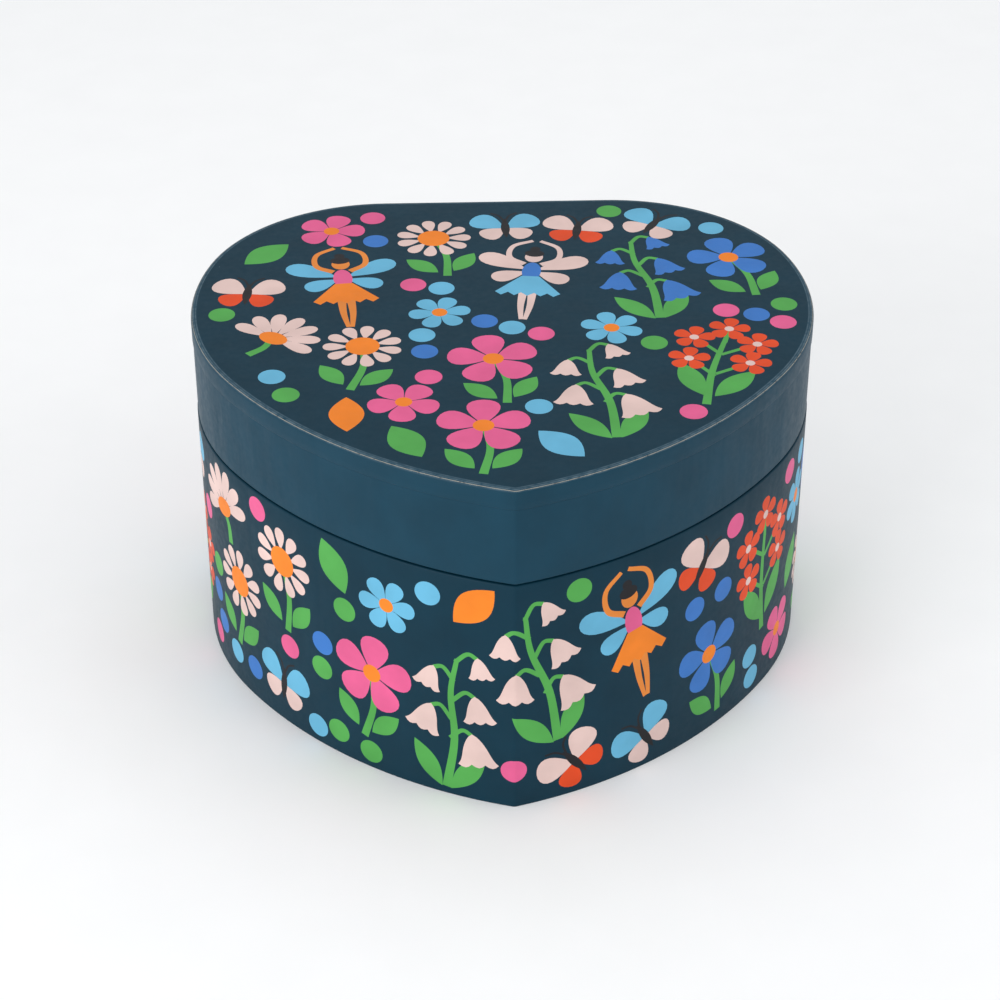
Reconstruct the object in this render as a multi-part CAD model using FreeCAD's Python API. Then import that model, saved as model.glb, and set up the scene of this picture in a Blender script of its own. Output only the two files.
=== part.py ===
import FreeCAD, Part
import math
import os
from FreeCAD import Vector

# Heart-shaped wind-up music box.  Millimetres, +Z up, the pointed front towards -Y, the
# straight hinged back towards +Y.  The origin is on the table, under the middle of the box.
os.makedirs("parts", exist_ok=True)

# ---------------------------------------------------------------- outline of the box
BOX_WIDTH = 160.0
BOX_DEPTH = 144.0
REAR_RADIUS = 48.5          # the two rounded rear corners
SIDE_RADIUS = 70.0          # the full cheeks
REAR_TURN = 18.5            # degrees forward of the back where the rear corner meets the cheek
FRONT_TURN = -33.5          # degrees where the cheek meets the long front curve
TIP_RADIUS = 2.0            # soft vertical fold at the front point
LEAST_TIP_RADIUS = 0.5

# ---------------------------------------------------------------- heights and walls
BOX_HEIGHT = 95.0
SEAM_HEIGHT = 68.0
SEAM_GAP = 0.35
PAPER = 0.25                # printed wrapping paper
CASE_BOARD = 3.0            # greyboard of the lower wall
LID_BOARD = 2.2             # greyboard of the lid's rim and top
BASE_BOARD = 2.5
GLUE = 0.05                 # glue line between two boards
COLLAR_BOARD = 1.5
COLLAR_RISE = 9.0           # how far the neck collar stands up inside the lid
SUPPORT_BOARD = 2.0
DECK_ROOM = 0.3             # between the deck and the moving parts under it
DECK_BOARD = 2.0
LINING = 0.3
DIVIDER_BOARD = 2.0
DIVIDER_RISE = 20.0
DIVIDER_GAP = 0.4           # between a divider and what it stands against

# ---------------------------------------------------------------- movement
BED_THICK = 2.0
WHEEL_GAP = 0.47            # between the great wheel and the bedplate
BED_GAP = 1.0               # between the bedplate and the support ring
GREAT_TEETH = 40
PINION_TEETH = 16
DRIVE_MODULE = 0.8
WHEEL_TEETH = 48
FAST_PINION_TEETH = 12
FAST_MODULE = 0.6
WORM_WHEEL_TEETH = 24
WORM_MODULE = 0.5
WORM_RADIUS = 2.0           # pitch radius of the worm
CROWN_TEETH = 20
TOOTH_TIP = 0.85            # a tooth's height outside the pitch circle, in modules
GEAR_WIDTH = 2.0
RUNNING_GAP = 0.08          # radial clearance of a shaft in its bearing
ARBOR_RADIUS = 1.75
DRUM_RADIUS = 8.0
DRUM_LENGTH = 38.5
DRUM_WALL = 0.8
PIN_HEIGHT = 0.9
PIN_RADIUS = 0.25
COMB_TEETH = 18
COMB_PITCH = 2.1
COMB_THICK = 1.2
COMB_CLEARANCE = 0.12       # comb tips stand just off the pins at rest
BARREL_RADIUS = 13.0
BARREL_LENGTH = 18.0
BARREL_WALL = 1.0
RATCHET_TEETH = 16
RATCHET_RADIUS = 6.0
GOV_PLATE = 1.2
FAN_HEIGHT = 6.0
BRAKE_GAP = 0.2
BRAKE_PAD = 1.0
WIRE_RADIUS = 1.0           # plunger and stop wire
STOP_LIFT = 3.2             # travel of the plunger when the lid opens

# ---------------------------------------------------------------- places that follow
BACK_Y = BOX_DEPTH / 2
TIP_Y = -BOX_DEPTH / 2
WALL_IN = PAPER + CASE_BOARD
LID_WALL_IN = PAPER + LID_BOARD
INNER = WALL_IN + GLUE                  # pieces glued to the inside of the lower wall
COLLAR_IN = INNER + COLLAR_BOARD
SUPPORT_IN = INNER + SUPPORT_BOARD
BASE_TOP = LINING + BASE_BOARD
BED_BOTTOM = BASE_TOP + GLUE
BED_TOP = BED_BOTTOM + BED_THICK
AXLE_HEIGHT = BED_TOP + WHEEL_GAP + DRIVE_MODULE * (GREAT_TEETH / 2 + TOOTH_TIP)
GOV_TOP = AXLE_HEIGHT + WORM_MODULE * WORM_WHEEL_TEETH / 2 + 1.5
FAN_BOTTOM = GOV_TOP + GOV_PLATE + 0.6
WIRE_Z = FAN_BOTTOM + FAN_HEIGHT + BRAKE_GAP + BRAKE_PAD + WIRE_RADIUS
CROWN_THICK = 1.4
CROWN_BOTTOM = AXLE_HEIGHT + DRIVE_MODULE * GREAT_TEETH / 2 + 1.4
DECK_HEIGHT = DECK_ROOM + max(WIRE_Z + WIRE_RADIUS + STOP_LIFT, CROWN_BOTTOM + CROWN_THICK)
DECK_TOP = DECK_HEIGHT + DECK_BOARD
TRAY_FLOOR = DECK_TOP + GLUE + LINING
LID_BOTTOM = SEAM_HEIGHT + SEAM_GAP / 2
CASE_TOP = SEAM_HEIGHT - SEAM_GAP / 2
LID_TOP_BOARD = BOX_HEIGHT - PAPER - LID_BOARD
COLLAR_TOP = SEAM_HEIGHT + COLLAR_RISE

EXPORTED = []


def export(name, shape):
    """Write one sub-part, checked to be closed solids."""
    solids = shape.Solids
    assert solids and all(s.isValid() and s.isClosed() for s in solids), name
    if len(solids) == 1:
        solids[0].exportStep(f"parts/{name}.step")
    else:
        Part.makeCompound(solids).exportStep(f"parts/{name}.step")
    EXPORTED.append(name)


def box(x0, x1, y0, y1, z0, z1):
    """A block between two corners."""
    return Part.makeBox(x1 - x0, y1 - y0, z1 - z0, Vector(x0, y0, z0))


def rod_y(x, z, y0, y1, radius):
    """A round bar along Y."""
    return Part.makeCylinder(radius, y1 - y0, Vector(x, y0, z), Vector(0, 1, 0))


def rod_z(x, y, z0, z1, radius):
    """A round bar along Z."""
    return Part.makeCylinder(radius, z1 - z0, Vector(x, y, z0), Vector(0, 0, 1))


def bar(start, end, radius):
    """A round bar between two points."""
    run = end - start
    return Part.makeCylinder(radius, run.Length, start, run)


def fuse(*shapes):
    """Join shapes into one solid and merge their coplanar faces."""
    return shapes[0].fuse(list(shapes[1:])).removeSplitter()


# ================================================================ the heart outline
def unit(angle):
    """The unit vector at an angle from +X."""
    return Vector(math.cos(angle), math.sin(angle), 0)


def heart_arcs():
    """Centres and radii of the three tangent arcs of the right half.

    The rear corner touches the straight back, the cheek reaches half the width, and the front
    curve leaves the cheek at FRONT_TURN and passes through the tip.
    """
    rear_turn = math.radians(REAR_TURN)
    front_turn = math.radians(FRONT_TURN)
    flat = BOX_WIDTH / 2 - SIDE_RADIUS - (REAR_RADIUS - SIDE_RADIUS) * math.cos(rear_turn)
    rear = Vector(flat, BACK_Y - REAR_RADIUS, 0)
    side = rear + unit(rear_turn) * (REAR_RADIUS - SIDE_RADIUS)
    leave = side + unit(front_turn) * SIDE_RADIUS
    reach = Vector(0, TIP_Y, 0) - leave
    front_radius = -reach.dot(reach) / (2 * unit(front_turn).dot(reach))
    front = leave - unit(front_turn) * front_radius
    return rear, side, front, front_radius, rear_turn, front_turn


def arc(centre, radius, start, end, height):
    """A circular arc edge from one angle to another."""
    points = [centre + unit(a) * radius for a in (start, (start + end) / 2, end)]
    return Part.Arc(*[Vector(p.x, p.y, height) for p in points]).toShape()


def heart_wire(inset, height):
    """The closed outline of the box moved in by inset, at a height."""
    rear, side, front, front_radius, rear_turn, front_turn = heart_arcs()
    tip = max(TIP_RADIUS - inset, LEAST_TIP_RADIUS)
    reach = front_radius - inset - tip
    tip_centre = Vector(0, front.y - math.sqrt(reach**2 - front.x**2), 0)
    tip_turn = math.atan2(tip_centre.y - front.y, tip_centre.x - front.x)
    half = [
        arc(tip_centre, tip, -math.pi / 2, tip_turn, height),
        arc(front, front_radius - inset, tip_turn, front_turn, height),
        arc(side, SIDE_RADIUS - inset, front_turn, rear_turn, height),
        arc(rear, REAR_RADIUS - inset, rear_turn, math.pi / 2, height),
    ]
    mirrored = [e.mirror(Vector(0, 0, 0), Vector(1, 0, 0)) for e in half]
    back_y = BACK_Y - inset
    back = Part.makeLine(Vector(rear.x, back_y, height), Vector(-rear.x, back_y, height))
    return Part.Wire(Part.__sortEdges__(half + [back] + mirrored))


def heart_plate(inset, z0, z1):
    """A heart-shaped board between two heights."""
    return Part.Face(heart_wire(inset, z0)).extrude(Vector(0, 0, z1 - z0))


def heart_ring(outer_inset, inner_inset, z0, z1):
    """A heart-shaped wall, open at the top and the bottom."""
    return heart_plate(outer_inset, z0, z1).cut(heart_plate(inner_inset, z0 - 1, z1 + 1))


def half_width(y, inset):
    """Half the width of the outline, moved in by inset, at a place along Y."""
    rear, side, front, front_radius, rear_turn, front_turn = heart_arcs()
    for centre, radius, low, high in (
        (rear, REAR_RADIUS, rear_turn, math.pi / 2),
        (side, SIDE_RADIUS, front_turn, rear_turn),
        (front, front_radius, -math.pi / 2, front_turn),
    ):
        sine = (y - centre.y) / (radius - inset)
        if abs(sine) <= 1 and low <= math.asin(sine) <= high:
            return centre.x + math.cos(math.asin(sine)) * (radius - inset)
    raise ValueError(f"no outline at y = {y}")


def front_reach(inset):
    """Where the outline, moved in by inset, crosses the middle plane at the front."""
    return heart_wire(inset, 0).BoundBox.YMin


# ================================================================ layout of the movement
PITCH_GREAT = DRIVE_MODULE * GREAT_TEETH / 2
PITCH_PINION = DRIVE_MODULE * PINION_TEETH / 2
PITCH_CROWN = DRIVE_MODULE * CROWN_TEETH / 2
PITCH_WHEEL = FAST_MODULE * WHEEL_TEETH / 2
PITCH_FAST = FAST_MODULE * FAST_PINION_TEETH / 2
PITCH_WORM_WHEEL = WORM_MODULE * WORM_WHEEL_TEETH / 2

BRACKET_BACK = BACK_Y - 9.0             # rear face of the bracket that carries the arbor
BRACKET_THICK = 2.0
BARREL_BACK = BRACKET_BACK - BRACKET_THICK - 1.0
BARREL_FRONT = BARREL_BACK - BARREL_LENGTH
GREAT_Y = BARREL_FRONT - GEAR_WIDTH     # front face of the great wheel
ARBOR_FRONT = GREAT_Y - 6.0
CYL_X = PITCH_GREAT + PITCH_PINION
DRUM_Y = GREAT_Y - 1.5 - DRUM_LENGTH    # front end of the pinned drum
FAST_Y = DRUM_Y - 6.0                   # front face of the cylinder wheel
FAST_WIDTH = 1.5
GOV_X = CYL_X - PITCH_WHEEL - PITCH_FAST
WORM_Y = FAST_Y - 3.25                  # middle of the worm wheel
WORM_X = GOV_X - PITCH_WORM_WHEEL - WORM_RADIUS
SPINDLE_Y = GREAT_Y + GEAR_WIDTH / 2 - PITCH_CROWN
POST_THICK = 2.0
BEARING_LAND = 5.0                      # board around a bearing hole


def gear(teeth, module, width, first_tooth, bore):
    """A spur gear along +Z from the origin: slim straight-flanked teeth, one at first_tooth."""
    pitch = module * teeth / 2
    step = 2 * math.pi / teeth
    profile = (
        (pitch - 1.1 * module, -0.29),
        (pitch, -0.18),
        (pitch + TOOTH_TIP * module, -0.09),
        (pitch + TOOTH_TIP * module, 0.09),
        (pitch, 0.18),
        (pitch - 1.1 * module, 0.29),
    )
    points = [
        unit(first_tooth + (n + share) * step) * radius
        for n in range(teeth)
        for radius, share in profile
    ]
    body = Part.Face(Part.makePolygon(points + points[:1])).extrude(Vector(0, 0, width))
    if bore:
        body = body.cut(Part.makeCylinder(bore, width + 2, Vector(0, 0, -1)))
    return body


def facing_y(shape, x, y, z):
    """Turn a shape built along +Z to run along -Y, with its own X still along X, and place it."""
    turned = shape.copy()
    turned.rotate(Vector(0, 0, 0), Vector(1, 0, 0), 90)
    turned.translate(Vector(x, y, z))
    return turned


# ================================================================ lower case
def key_hole(radius):
    """The round way through the back for the winding arbor."""
    return rod_y(0, AXLE_HEIGHT, BACK_Y - 3 * CASE_BOARD, BACK_Y + 1, radius)


ESCUTCHEON_HOLE = 4.5
SCREW_PLACES = (
    (-10.0, DRUM_Y + 12.0),
    (CYL_X + 12.0, FAST_Y - 4.0),
    (CYL_X + 12.0, GREAT_Y + 8.0),
)
SCREW_SHANK = 1.25
SCREW_HEAD = 2.8
SCREW_HEAD_HEIGHT = 1.1
SCREW_GAP = 0.1
PLUNGER_GUIDE = 2.4         # outer radius of the plunger's guide bush
PLUNGER_ROOM = 1.0          # between the guide bush and the support ring
PLUNGER_Y = WORM_Y
PLUNGER_X = PLUNGER_GUIDE + PLUNGER_ROOM - half_width(PLUNGER_Y, SUPPORT_IN)
SPINDLE_RADIUS = 1.5


def make_case():
    """Base, wrapped wall, inner support ring, deck and neck collar."""
    base = heart_plate(INNER, LINING, BASE_TOP)
    paper = heart_plate(INNER + 2 * PAPER, 0, LINING - GLUE)
    for x, y in SCREW_PLACES:
        recess = LINING + SCREW_HEAD_HEIGHT + SCREW_GAP
        base = base.cut(rod_z(x, y, 0, recess, SCREW_HEAD + SCREW_GAP))
        base = base.cut(rod_z(x, y, 0, BASE_TOP + 1, SCREW_SHANK + SCREW_GAP))
        paper = paper.cut(rod_z(x, y, -1, 1, SCREW_HEAD + SCREW_GAP))
    export("base_board", base)
    export("base_paper", paper)

    opening = key_hole(ESCUTCHEON_HOLE)
    export("case_wall", heart_ring(PAPER, WALL_IN, 0, CASE_TOP - PAPER).cut(opening))
    export("case_wrap", heart_ring(0, PAPER, 0, CASE_TOP).cut(opening))
    support = heart_ring(INNER, SUPPORT_IN, BASE_TOP + GLUE, DECK_HEIGHT - GLUE)
    export("support_ring", support.cut(opening))

    deck = heart_plate(INNER, DECK_HEIGHT, DECK_TOP)
    lining = heart_plate(COLLAR_IN + GLUE, DECK_TOP + GLUE, TRAY_FLOOR)
    ways = [
        rod_z(0, SPINDLE_Y, 0, BOX_HEIGHT, SPINDLE_RADIUS + 4 * RUNNING_GAP),
        rod_z(PLUNGER_X, PLUNGER_Y, 0, BOX_HEIGHT, PLUNGER_GUIDE + GLUE),
    ]
    export("deck_board", deck.cut(Part.makeCompound(ways)))
    export("tray_lining", lining.cut(Part.makeCompound(ways)))
    export("neck_collar", heart_ring(INNER, COLLAR_IN, DECK_TOP + GLUE, COLLAR_TOP))

    flange = rod_y(0, AXLE_HEIGHT, BACK_Y, BACK_Y + 0.8, ESCUTCHEON_HOLE + 2.5)
    sleeve = rod_y(0, AXLE_HEIGHT, BACK_Y - WALL_IN, BACK_Y, ESCUTCHEON_HOLE - GLUE)
    way = rod_y(0, AXLE_HEIGHT, BACK_Y - WALL_IN - 1, BACK_Y + 2, ARBOR_RADIUS + 0.8)
    export("key_escutcheon", fuse(flange, sleeve).cut(way))


CROSS_Y = 8.0               # front face of the cross divider
STAGE_HALF = 21.0           # inner half width between the stage walls
STAGE_RISE = 4.5
ROLL_WIDTH = 10.0
ROLL_HEIGHT = 14.0
ROLL_GAP = 1.0
ROLLS = 4


def make_tray():
    """Dividers, the raised stage and the ring cushion."""
    divider_top = TRAY_FLOOR + DIVIDER_RISE
    cross_back = CROSS_Y + DIVIDER_BOARD
    reach = min(half_width(CROSS_Y, COLLAR_IN), half_width(cross_back, COLLAR_IN))
    reach -= DIVIDER_GAP
    cross = box(-reach, reach, CROSS_Y, cross_back, TRAY_FLOOR, divider_top)
    export("cross_divider", cross)
    front = front_reach(COLLAR_IN) + 3 * DIVIDER_GAP
    half = DIVIDER_BOARD / 2
    centre = box(-half, half, front, CROSS_Y - GLUE, TRAY_FLOOR, divider_top)
    export("centre_divider", centre)

    rear = BACK_Y - COLLAR_IN - DIVIDER_GAP
    side = box(STAGE_HALF, STAGE_HALF + DIVIDER_BOARD, cross_back + GLUE, rear, TRAY_FLOOR, divider_top)
    sides = [side, side.mirror(Vector(0, 0, 0), Vector(1, 0, 0))]
    export("stage_side_walls", Part.makeCompound(sides))
    stage_half = STAGE_HALF - GLUE
    stage = box(
        -stage_half, stage_half, cross_back + GLUE, rear, TRAY_FLOOR, TRAY_FLOOR + STAGE_RISE
    )
    stage = stage.cut(rod_z(0, SPINDLE_Y, 0, BOX_HEIGHT, SPINDLE_RADIUS + 4 * RUNNING_GAP))
    export("stage_block", stage)

    rolls = []
    for n in range(ROLLS):
        back = CROSS_Y - ROLL_GAP - n * (ROLL_WIDTH + ROLL_GAP)
        front = back - ROLL_WIDTH
        left = -half_width(front, COLLAR_IN + ROLL_GAP) + DIVIDER_GAP
        if front < PLUNGER_Y + PLUNGER_GUIDE + ROLL_GAP and back > PLUNGER_Y - PLUNGER_GUIDE - ROLL_GAP:
            left = max(left, PLUNGER_X + PLUNGER_GUIDE + ROLL_GAP)
        right = -half - ROLL_GAP
        crown = ROLL_WIDTH / 2
        top = TRAY_FLOOR + ROLL_HEIGHT
        floor = TRAY_FLOOR + GLUE
        roll = box(left, right, front, back, floor, top - crown)
        over = Part.makeCylinder(
            crown, right - left, Vector(left, front + crown, top - crown), Vector(1, 0, 0)
        )
        rolls.append(fuse(roll, over))
    export("ring_cushion_rolls", Part.makeCompound(rolls))

    guide = rod_z(PLUNGER_X, PLUNGER_Y, DECK_HEIGHT, TRAY_FLOOR + 2.0, PLUNGER_GUIDE)
    guide = guide.cut(rod_z(PLUNGER_X, PLUNGER_Y, 0, BOX_HEIGHT, WIRE_RADIUS + RUNNING_GAP))
    export("stop_guide", guide)

    ribbon_y = CROSS_Y + 12.0
    ribbon_x = half_width(ribbon_y, COLLAR_IN) - 1.0
    ribbon = box(ribbon_x - 2.0, ribbon_x, ribbon_y - 4, ribbon_y + 4, SEAM_HEIGHT - 6, COLLAR_TOP - 1)
    export("stay_ribbon", ribbon)


HINGE_CLOTH = 0.3
HINGE_REACH = 11.0


def hinge_strip(z0, z1):
    """One leaf of the cloth hinge, glued to the straight part of the back."""
    rear = heart_arcs()[0]
    return box(-rear.x, rear.x, BACK_Y, BACK_Y + HINGE_CLOTH, z0, z1)


MIRROR_INSET = 19.0
MIRROR_GLASS = 1.6
MIRROR_FRAME = 5.0
PRESSER = 6.0


def make_lid():
    """Lid boards, papers, lining, mirror and the block that presses the stop plunger."""
    export("lid_board", heart_plate(PAPER, LID_TOP_BOARD, BOX_HEIGHT - PAPER))
    rim = heart_ring(PAPER, LID_WALL_IN, LID_BOTTOM + PAPER, LID_TOP_BOARD - GLUE)
    export("lid_wall", rim)
    export("lid_rim_wrap", heart_ring(0, PAPER, LID_BOTTOM, BOX_HEIGHT - PAPER))
    export("lid_top_sheet", heart_plate(0, BOX_HEIGHT - PAPER + GLUE / 5, BOX_HEIGHT))
    ceiling = LID_TOP_BOARD - GLUE - LINING
    export("lid_lining", heart_plate(LID_WALL_IN + LINING, ceiling, ceiling + LINING))
    glass_top = ceiling - GLUE
    glass = heart_plate(MIRROR_INSET, glass_top - MIRROR_GLASS, glass_top)
    export("mirror", glass)
    frame_inset = MIRROR_INSET - MIRROR_FRAME
    frame = heart_ring(frame_inset, MIRROR_INSET - GLUE, glass_top - MIRROR_GLASS - 0.3, glass_top)
    export("mirror_frame", frame)
    half = PRESSER / 2
    block = box(
        PLUNGER_X - half, PLUNGER_X + half, PLUNGER_Y - half, PLUNGER_Y + half,
        COLLAR_TOP + 1.0, ceiling - GLUE,
    )
    export("presser_block", block)
    export("lid_hinge_strip", hinge_strip(SEAM_HEIGHT + HINGE_CLOTH, SEAM_HEIGHT + HINGE_REACH))
    export("case_hinge_strip", hinge_strip(SEAM_HEIGHT - HINGE_REACH, SEAM_HEIGHT - HINGE_CLOTH))


# ================================================================ movement frame
CYL_ARBOR_RADIUS = 1.2
FAST_ARBOR_RADIUS = 0.8
POST_HALF = 5.5
COMB_TIP_X = CYL_X + DRUM_RADIUS + PIN_HEIGHT + COMB_CLEARANCE
COMB_ROOT_X = COMB_TIP_X + 12.5
COMB_BACK_X = COMB_ROOT_X + 9.0
COMB_Y0 = DRUM_Y + (DRUM_LENGTH - COMB_TEETH * COMB_PITCH) / 2
COMB_Y1 = COMB_Y0 + COMB_TEETH * COMB_PITCH
COMB_BOTTOM = AXLE_HEIGHT - COMB_THICK / 2
COMB_SCREW_X = (COMB_ROOT_X + COMB_BACK_X) / 2 + 0.5
COMB_SCREW_PLACES = [COMB_Y0 + (n + 0.5) * (COMB_Y1 - COMB_Y0) / 3 for n in range(3)]


def bearing_post(x, z, y0, bore, half):
    """An upright plate with a round-topped head around a bearing hole."""
    y1 = y0 + POST_THICK
    post = box(x - half, x + half, y0, y1, BED_TOP, z)
    head = rod_y(x, z, y0, y1, half)
    return fuse(post, head).cut(rod_y(x, z, y0 - 1, y1 + 1, bore))


def make_frame():
    """Bedplate, bearing posts, rear bracket and the screws that hold the bedplate down."""
    bed = box(
        WORM_X - 8, COMB_BACK_X + 2, FAST_Y - 10, BRACKET_BACK, BED_BOTTOM, BED_TOP
    )
    bed = bed.common(heart_plate(SUPPORT_IN + BED_GAP, BED_BOTTOM - 1, BED_TOP + 1))
    for x, y in SCREW_PLACES:
        bed = bed.cut(rod_z(x, y, 0, BED_TOP + 1, SCREW_SHANK + RUNNING_GAP / 2))
    footstep = rod_z(WORM_X, WORM_Y, BED_TOP, BED_TOP + 3, 2.5)
    bed = fuse(bed, footstep)
    bed = bed.cut(rod_z(WORM_X, WORM_Y, BED_TOP + 1, BED_TOP + 4, FAST_ARBOR_RADIUS + RUNNING_GAP))
    export("bedplate", bed)

    screws = []
    for x, y in SCREW_PLACES:
        head = rod_z(x, y, LINING + SCREW_GAP / 2, LINING + SCREW_HEAD_HEIGHT, SCREW_HEAD)
        slot = box(x - SCREW_HEAD, x + SCREW_HEAD, y - 0.35, y + 0.35, 0, LINING + 0.6)
        shank = rod_z(x, y, LINING + SCREW_HEAD_HEIGHT, BED_TOP, SCREW_SHANK)
        screws.append(fuse(head, shank).cut(slot))
    export("movement_screws", Part.makeCompound(screws))

    front_post = bearing_post(0, AXLE_HEIGHT, ARBOR_FRONT + 1, ARBOR_RADIUS + RUNNING_GAP, POST_HALF)
    cylinder_bore = CYL_ARBOR_RADIUS + RUNNING_GAP
    cylinder_rear = bearing_post(CYL_X, AXLE_HEIGHT, GREAT_Y + GEAR_WIDTH + 1, cylinder_bore, POST_HALF)
    cylinder_front = bearing_post(CYL_X, AXLE_HEIGHT, FAST_Y - 1 - POST_THICK, cylinder_bore, POST_HALF)
    export("bearing_posts", Part.makeCompound([front_post, cylinder_rear, cylinder_front]))

    bracket_half = BARREL_RADIUS
    plate_front = BRACKET_BACK - BRACKET_THICK
    plate = box(-bracket_half, bracket_half, plate_front, BRACKET_BACK, BED_TOP, AXLE_HEIGHT)
    head = rod_y(0, AXLE_HEIGHT, plate_front, BRACKET_BACK, bracket_half)
    foot = box(-bracket_half, bracket_half, plate_front - 5, plate_front, BED_TOP, BED_TOP + 1.5)
    bracket = fuse(plate, head, foot)
    bracket = bracket.cut(rod_y(0, AXLE_HEIGHT, plate_front - 1, BACK_Y, ARBOR_RADIUS + RUNNING_GAP))
    stud = rod_y(CLICK_X, CLICK_Z, BRACKET_BACK - 1, RATCHET_Y + RATCHET_THICK + 0.4, CLICK_STUD)
    export("rear_bracket", fuse(bracket, stud))

    plates = [
        box(WORM_X - 5, GOV_X + BEARING_LAND, y0, y0 + GOV_PLATE, BED_TOP, GOV_TOP)
        for y0 in (GOV_FRONT, GOV_REAR)
    ]
    bridge = box(
        WORM_X - 5, GOV_X + BEARING_LAND, GOV_FRONT, GOV_REAR + GOV_PLATE, GOV_TOP, GOV_TOP + GOV_PLATE
    )
    frame = fuse(bridge, *plates)
    bearing = FAST_ARBOR_RADIUS + RUNNING_GAP
    frame = frame.cut(rod_y(GOV_X, AXLE_HEIGHT, GOV_FRONT - 1, GOV_REAR + GOV_PLATE + 1, bearing))
    frame = frame.cut(rod_z(WORM_X, WORM_Y, GOV_TOP - 1, GOV_TOP + GOV_PLATE + 1, bearing))
    export("governor_frame", frame)


# ================================================================ winding side
RATCHET_Y = BRACKET_BACK + 0.3
RATCHET_THICK = 1.2
CLICK_STUD = 0.9
CLICK_X = -(RATCHET_RADIUS + 4.5)
CLICK_Z = AXLE_HEIGHT + 3.5
KEY_START = BACK_Y + 3.5
KEY_LENGTH = 15.0
KEY_HUB = 3.0
KEY_LOBE = 6.8
KEY_PLATE = 1.8
KEY_EDGE = 0.5


def ratchet_point(n, radius):
    """A point of the saw-toothed wheel at tooth n, seen along -Y."""
    return unit(2 * math.pi * n / RATCHET_TEETH) * radius


def make_winding():
    """Key, arbor, ratchet wheel and the click that holds it."""
    arbor = rod_y(0, AXLE_HEIGHT, ARBOR_FRONT, KEY_START + KEY_LENGTH - 4, ARBOR_RADIUS)
    export("winding_arbor", arbor)

    root = RATCHET_RADIUS - 1.2
    points = []
    for n in range(RATCHET_TEETH):
        points.append(ratchet_point(n, root))
        points.append(ratchet_point(n, RATCHET_RADIUS))
    saw = Part.Face(Part.makePolygon(points + points[:1])).extrude(Vector(0, 0, RATCHET_THICK))
    saw = saw.cut(Part.makeCylinder(ARBOR_RADIUS, 9, Vector(0, 0, -1)))
    export("ratchet_wheel", facing_y(saw, 0, RATCHET_Y + RATCHET_THICK, AXLE_HEIGHT))

    hub = rod_y(0, AXLE_HEIGHT, KEY_START, KEY_START + KEY_LENGTH - 3, KEY_HUB)
    lobes = []
    for side in (-1, 1):
        lobe_y = KEY_START + KEY_LENGTH - KEY_LOBE
        centre = Vector(side * KEY_LOBE * 0.95, lobe_y, AXLE_HEIGHT - KEY_PLATE / 2)
        lobe = Part.makeCylinder(KEY_LOBE, KEY_PLATE, centre)
        eye_place = centre + Vector(side * 1.2, 0.6, -1)
        lobe = lobe.cut(Part.makeCylinder(KEY_LOBE * 0.4, KEY_PLATE + 2, eye_place))
        rims = [e for e in lobe.Edges if len(e.Vertexes) == 1]
        lobes.append(lobe.makeFillet(KEY_EDGE, rims))
    key = fuse(hub, *lobes)
    key = key.cut(rod_y(0, AXLE_HEIGHT, KEY_START - 1, KEY_START + KEY_LENGTH - 4, ARBOR_RADIUS))
    export("winding_key", key)

    # the click: a round eye on the stud, and a beak that drops behind a ratchet tooth
    y0 = RATCHET_Y
    y1 = RATCHET_Y + RATCHET_THICK
    eye = rod_y(CLICK_X, CLICK_Z, y0, y1, 2.0)
    beak_tip = Vector(-(RATCHET_RADIUS + 0.2), y0, AXLE_HEIGHT + 1.2)
    corners = [
        Vector(CLICK_X, y0, CLICK_Z + 1.8),
        Vector(-(RATCHET_RADIUS + 0.4), y0, AXLE_HEIGHT + 3.1),
        beak_tip,
        Vector(CLICK_X, y0, CLICK_Z - 1.8),
        Vector(CLICK_X, y0, CLICK_Z + 1.8),
    ]
    beak = Part.Face(Part.makePolygon(corners)).extrude(Vector(0, RATCHET_THICK, 0))
    way = rod_y(CLICK_X, CLICK_Z, y0 - 1, y1 + 1, CLICK_STUD + RUNNING_GAP)
    export("click", fuse(eye, beak).cut(way))

    spring_root = box(CLICK_X - 2.2, CLICK_X - 1.0, y0 - 0.3, y1, AXLE_HEIGHT - 9, AXLE_HEIGHT - 6)
    leaf_x = CLICK_X - 2.0 - 0.25
    leaf = box(leaf_x - 0.3, leaf_x, y0, y1, AXLE_HEIGHT - 9, CLICK_Z)
    export("click_spring", fuse(spring_root, leaf))


# ================================================================ barrel
MAINSPRING = 0.5
SPRING_TURNS = 5


def spiral_face(inner, step, thick, half_turns):
    """A spiral strip drawn with half circles, each stepping out by step."""
    outline = []
    for extra in (0, thick):
        edges = []
        for n in range(half_turns):
            side = 1 if n % 2 == 0 else -1
            centre = Vector(0 if n % 2 == 0 else step, 0, 0)
            radius = inner + n * step + extra
            start = centre + Vector(side * radius, 0, 0)
            middle = centre + Vector(0, side * radius, 0)
            end = centre - Vector(side * radius, 0, 0)
            edges.append(Part.Arc(start, middle, end).toShape())
        outline.append(edges)
    inner_edges, outer_edges = outline
    ends = [
        Part.makeLine(inner_edges[0].Vertexes[0].Point, outer_edges[0].Vertexes[0].Point),
        Part.makeLine(inner_edges[-1].Vertexes[-1].Point, outer_edges[-1].Vertexes[-1].Point),
    ]
    return Part.Face(Part.Wire(Part.__sortEdges__(inner_edges + outer_edges + ends)))


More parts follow.
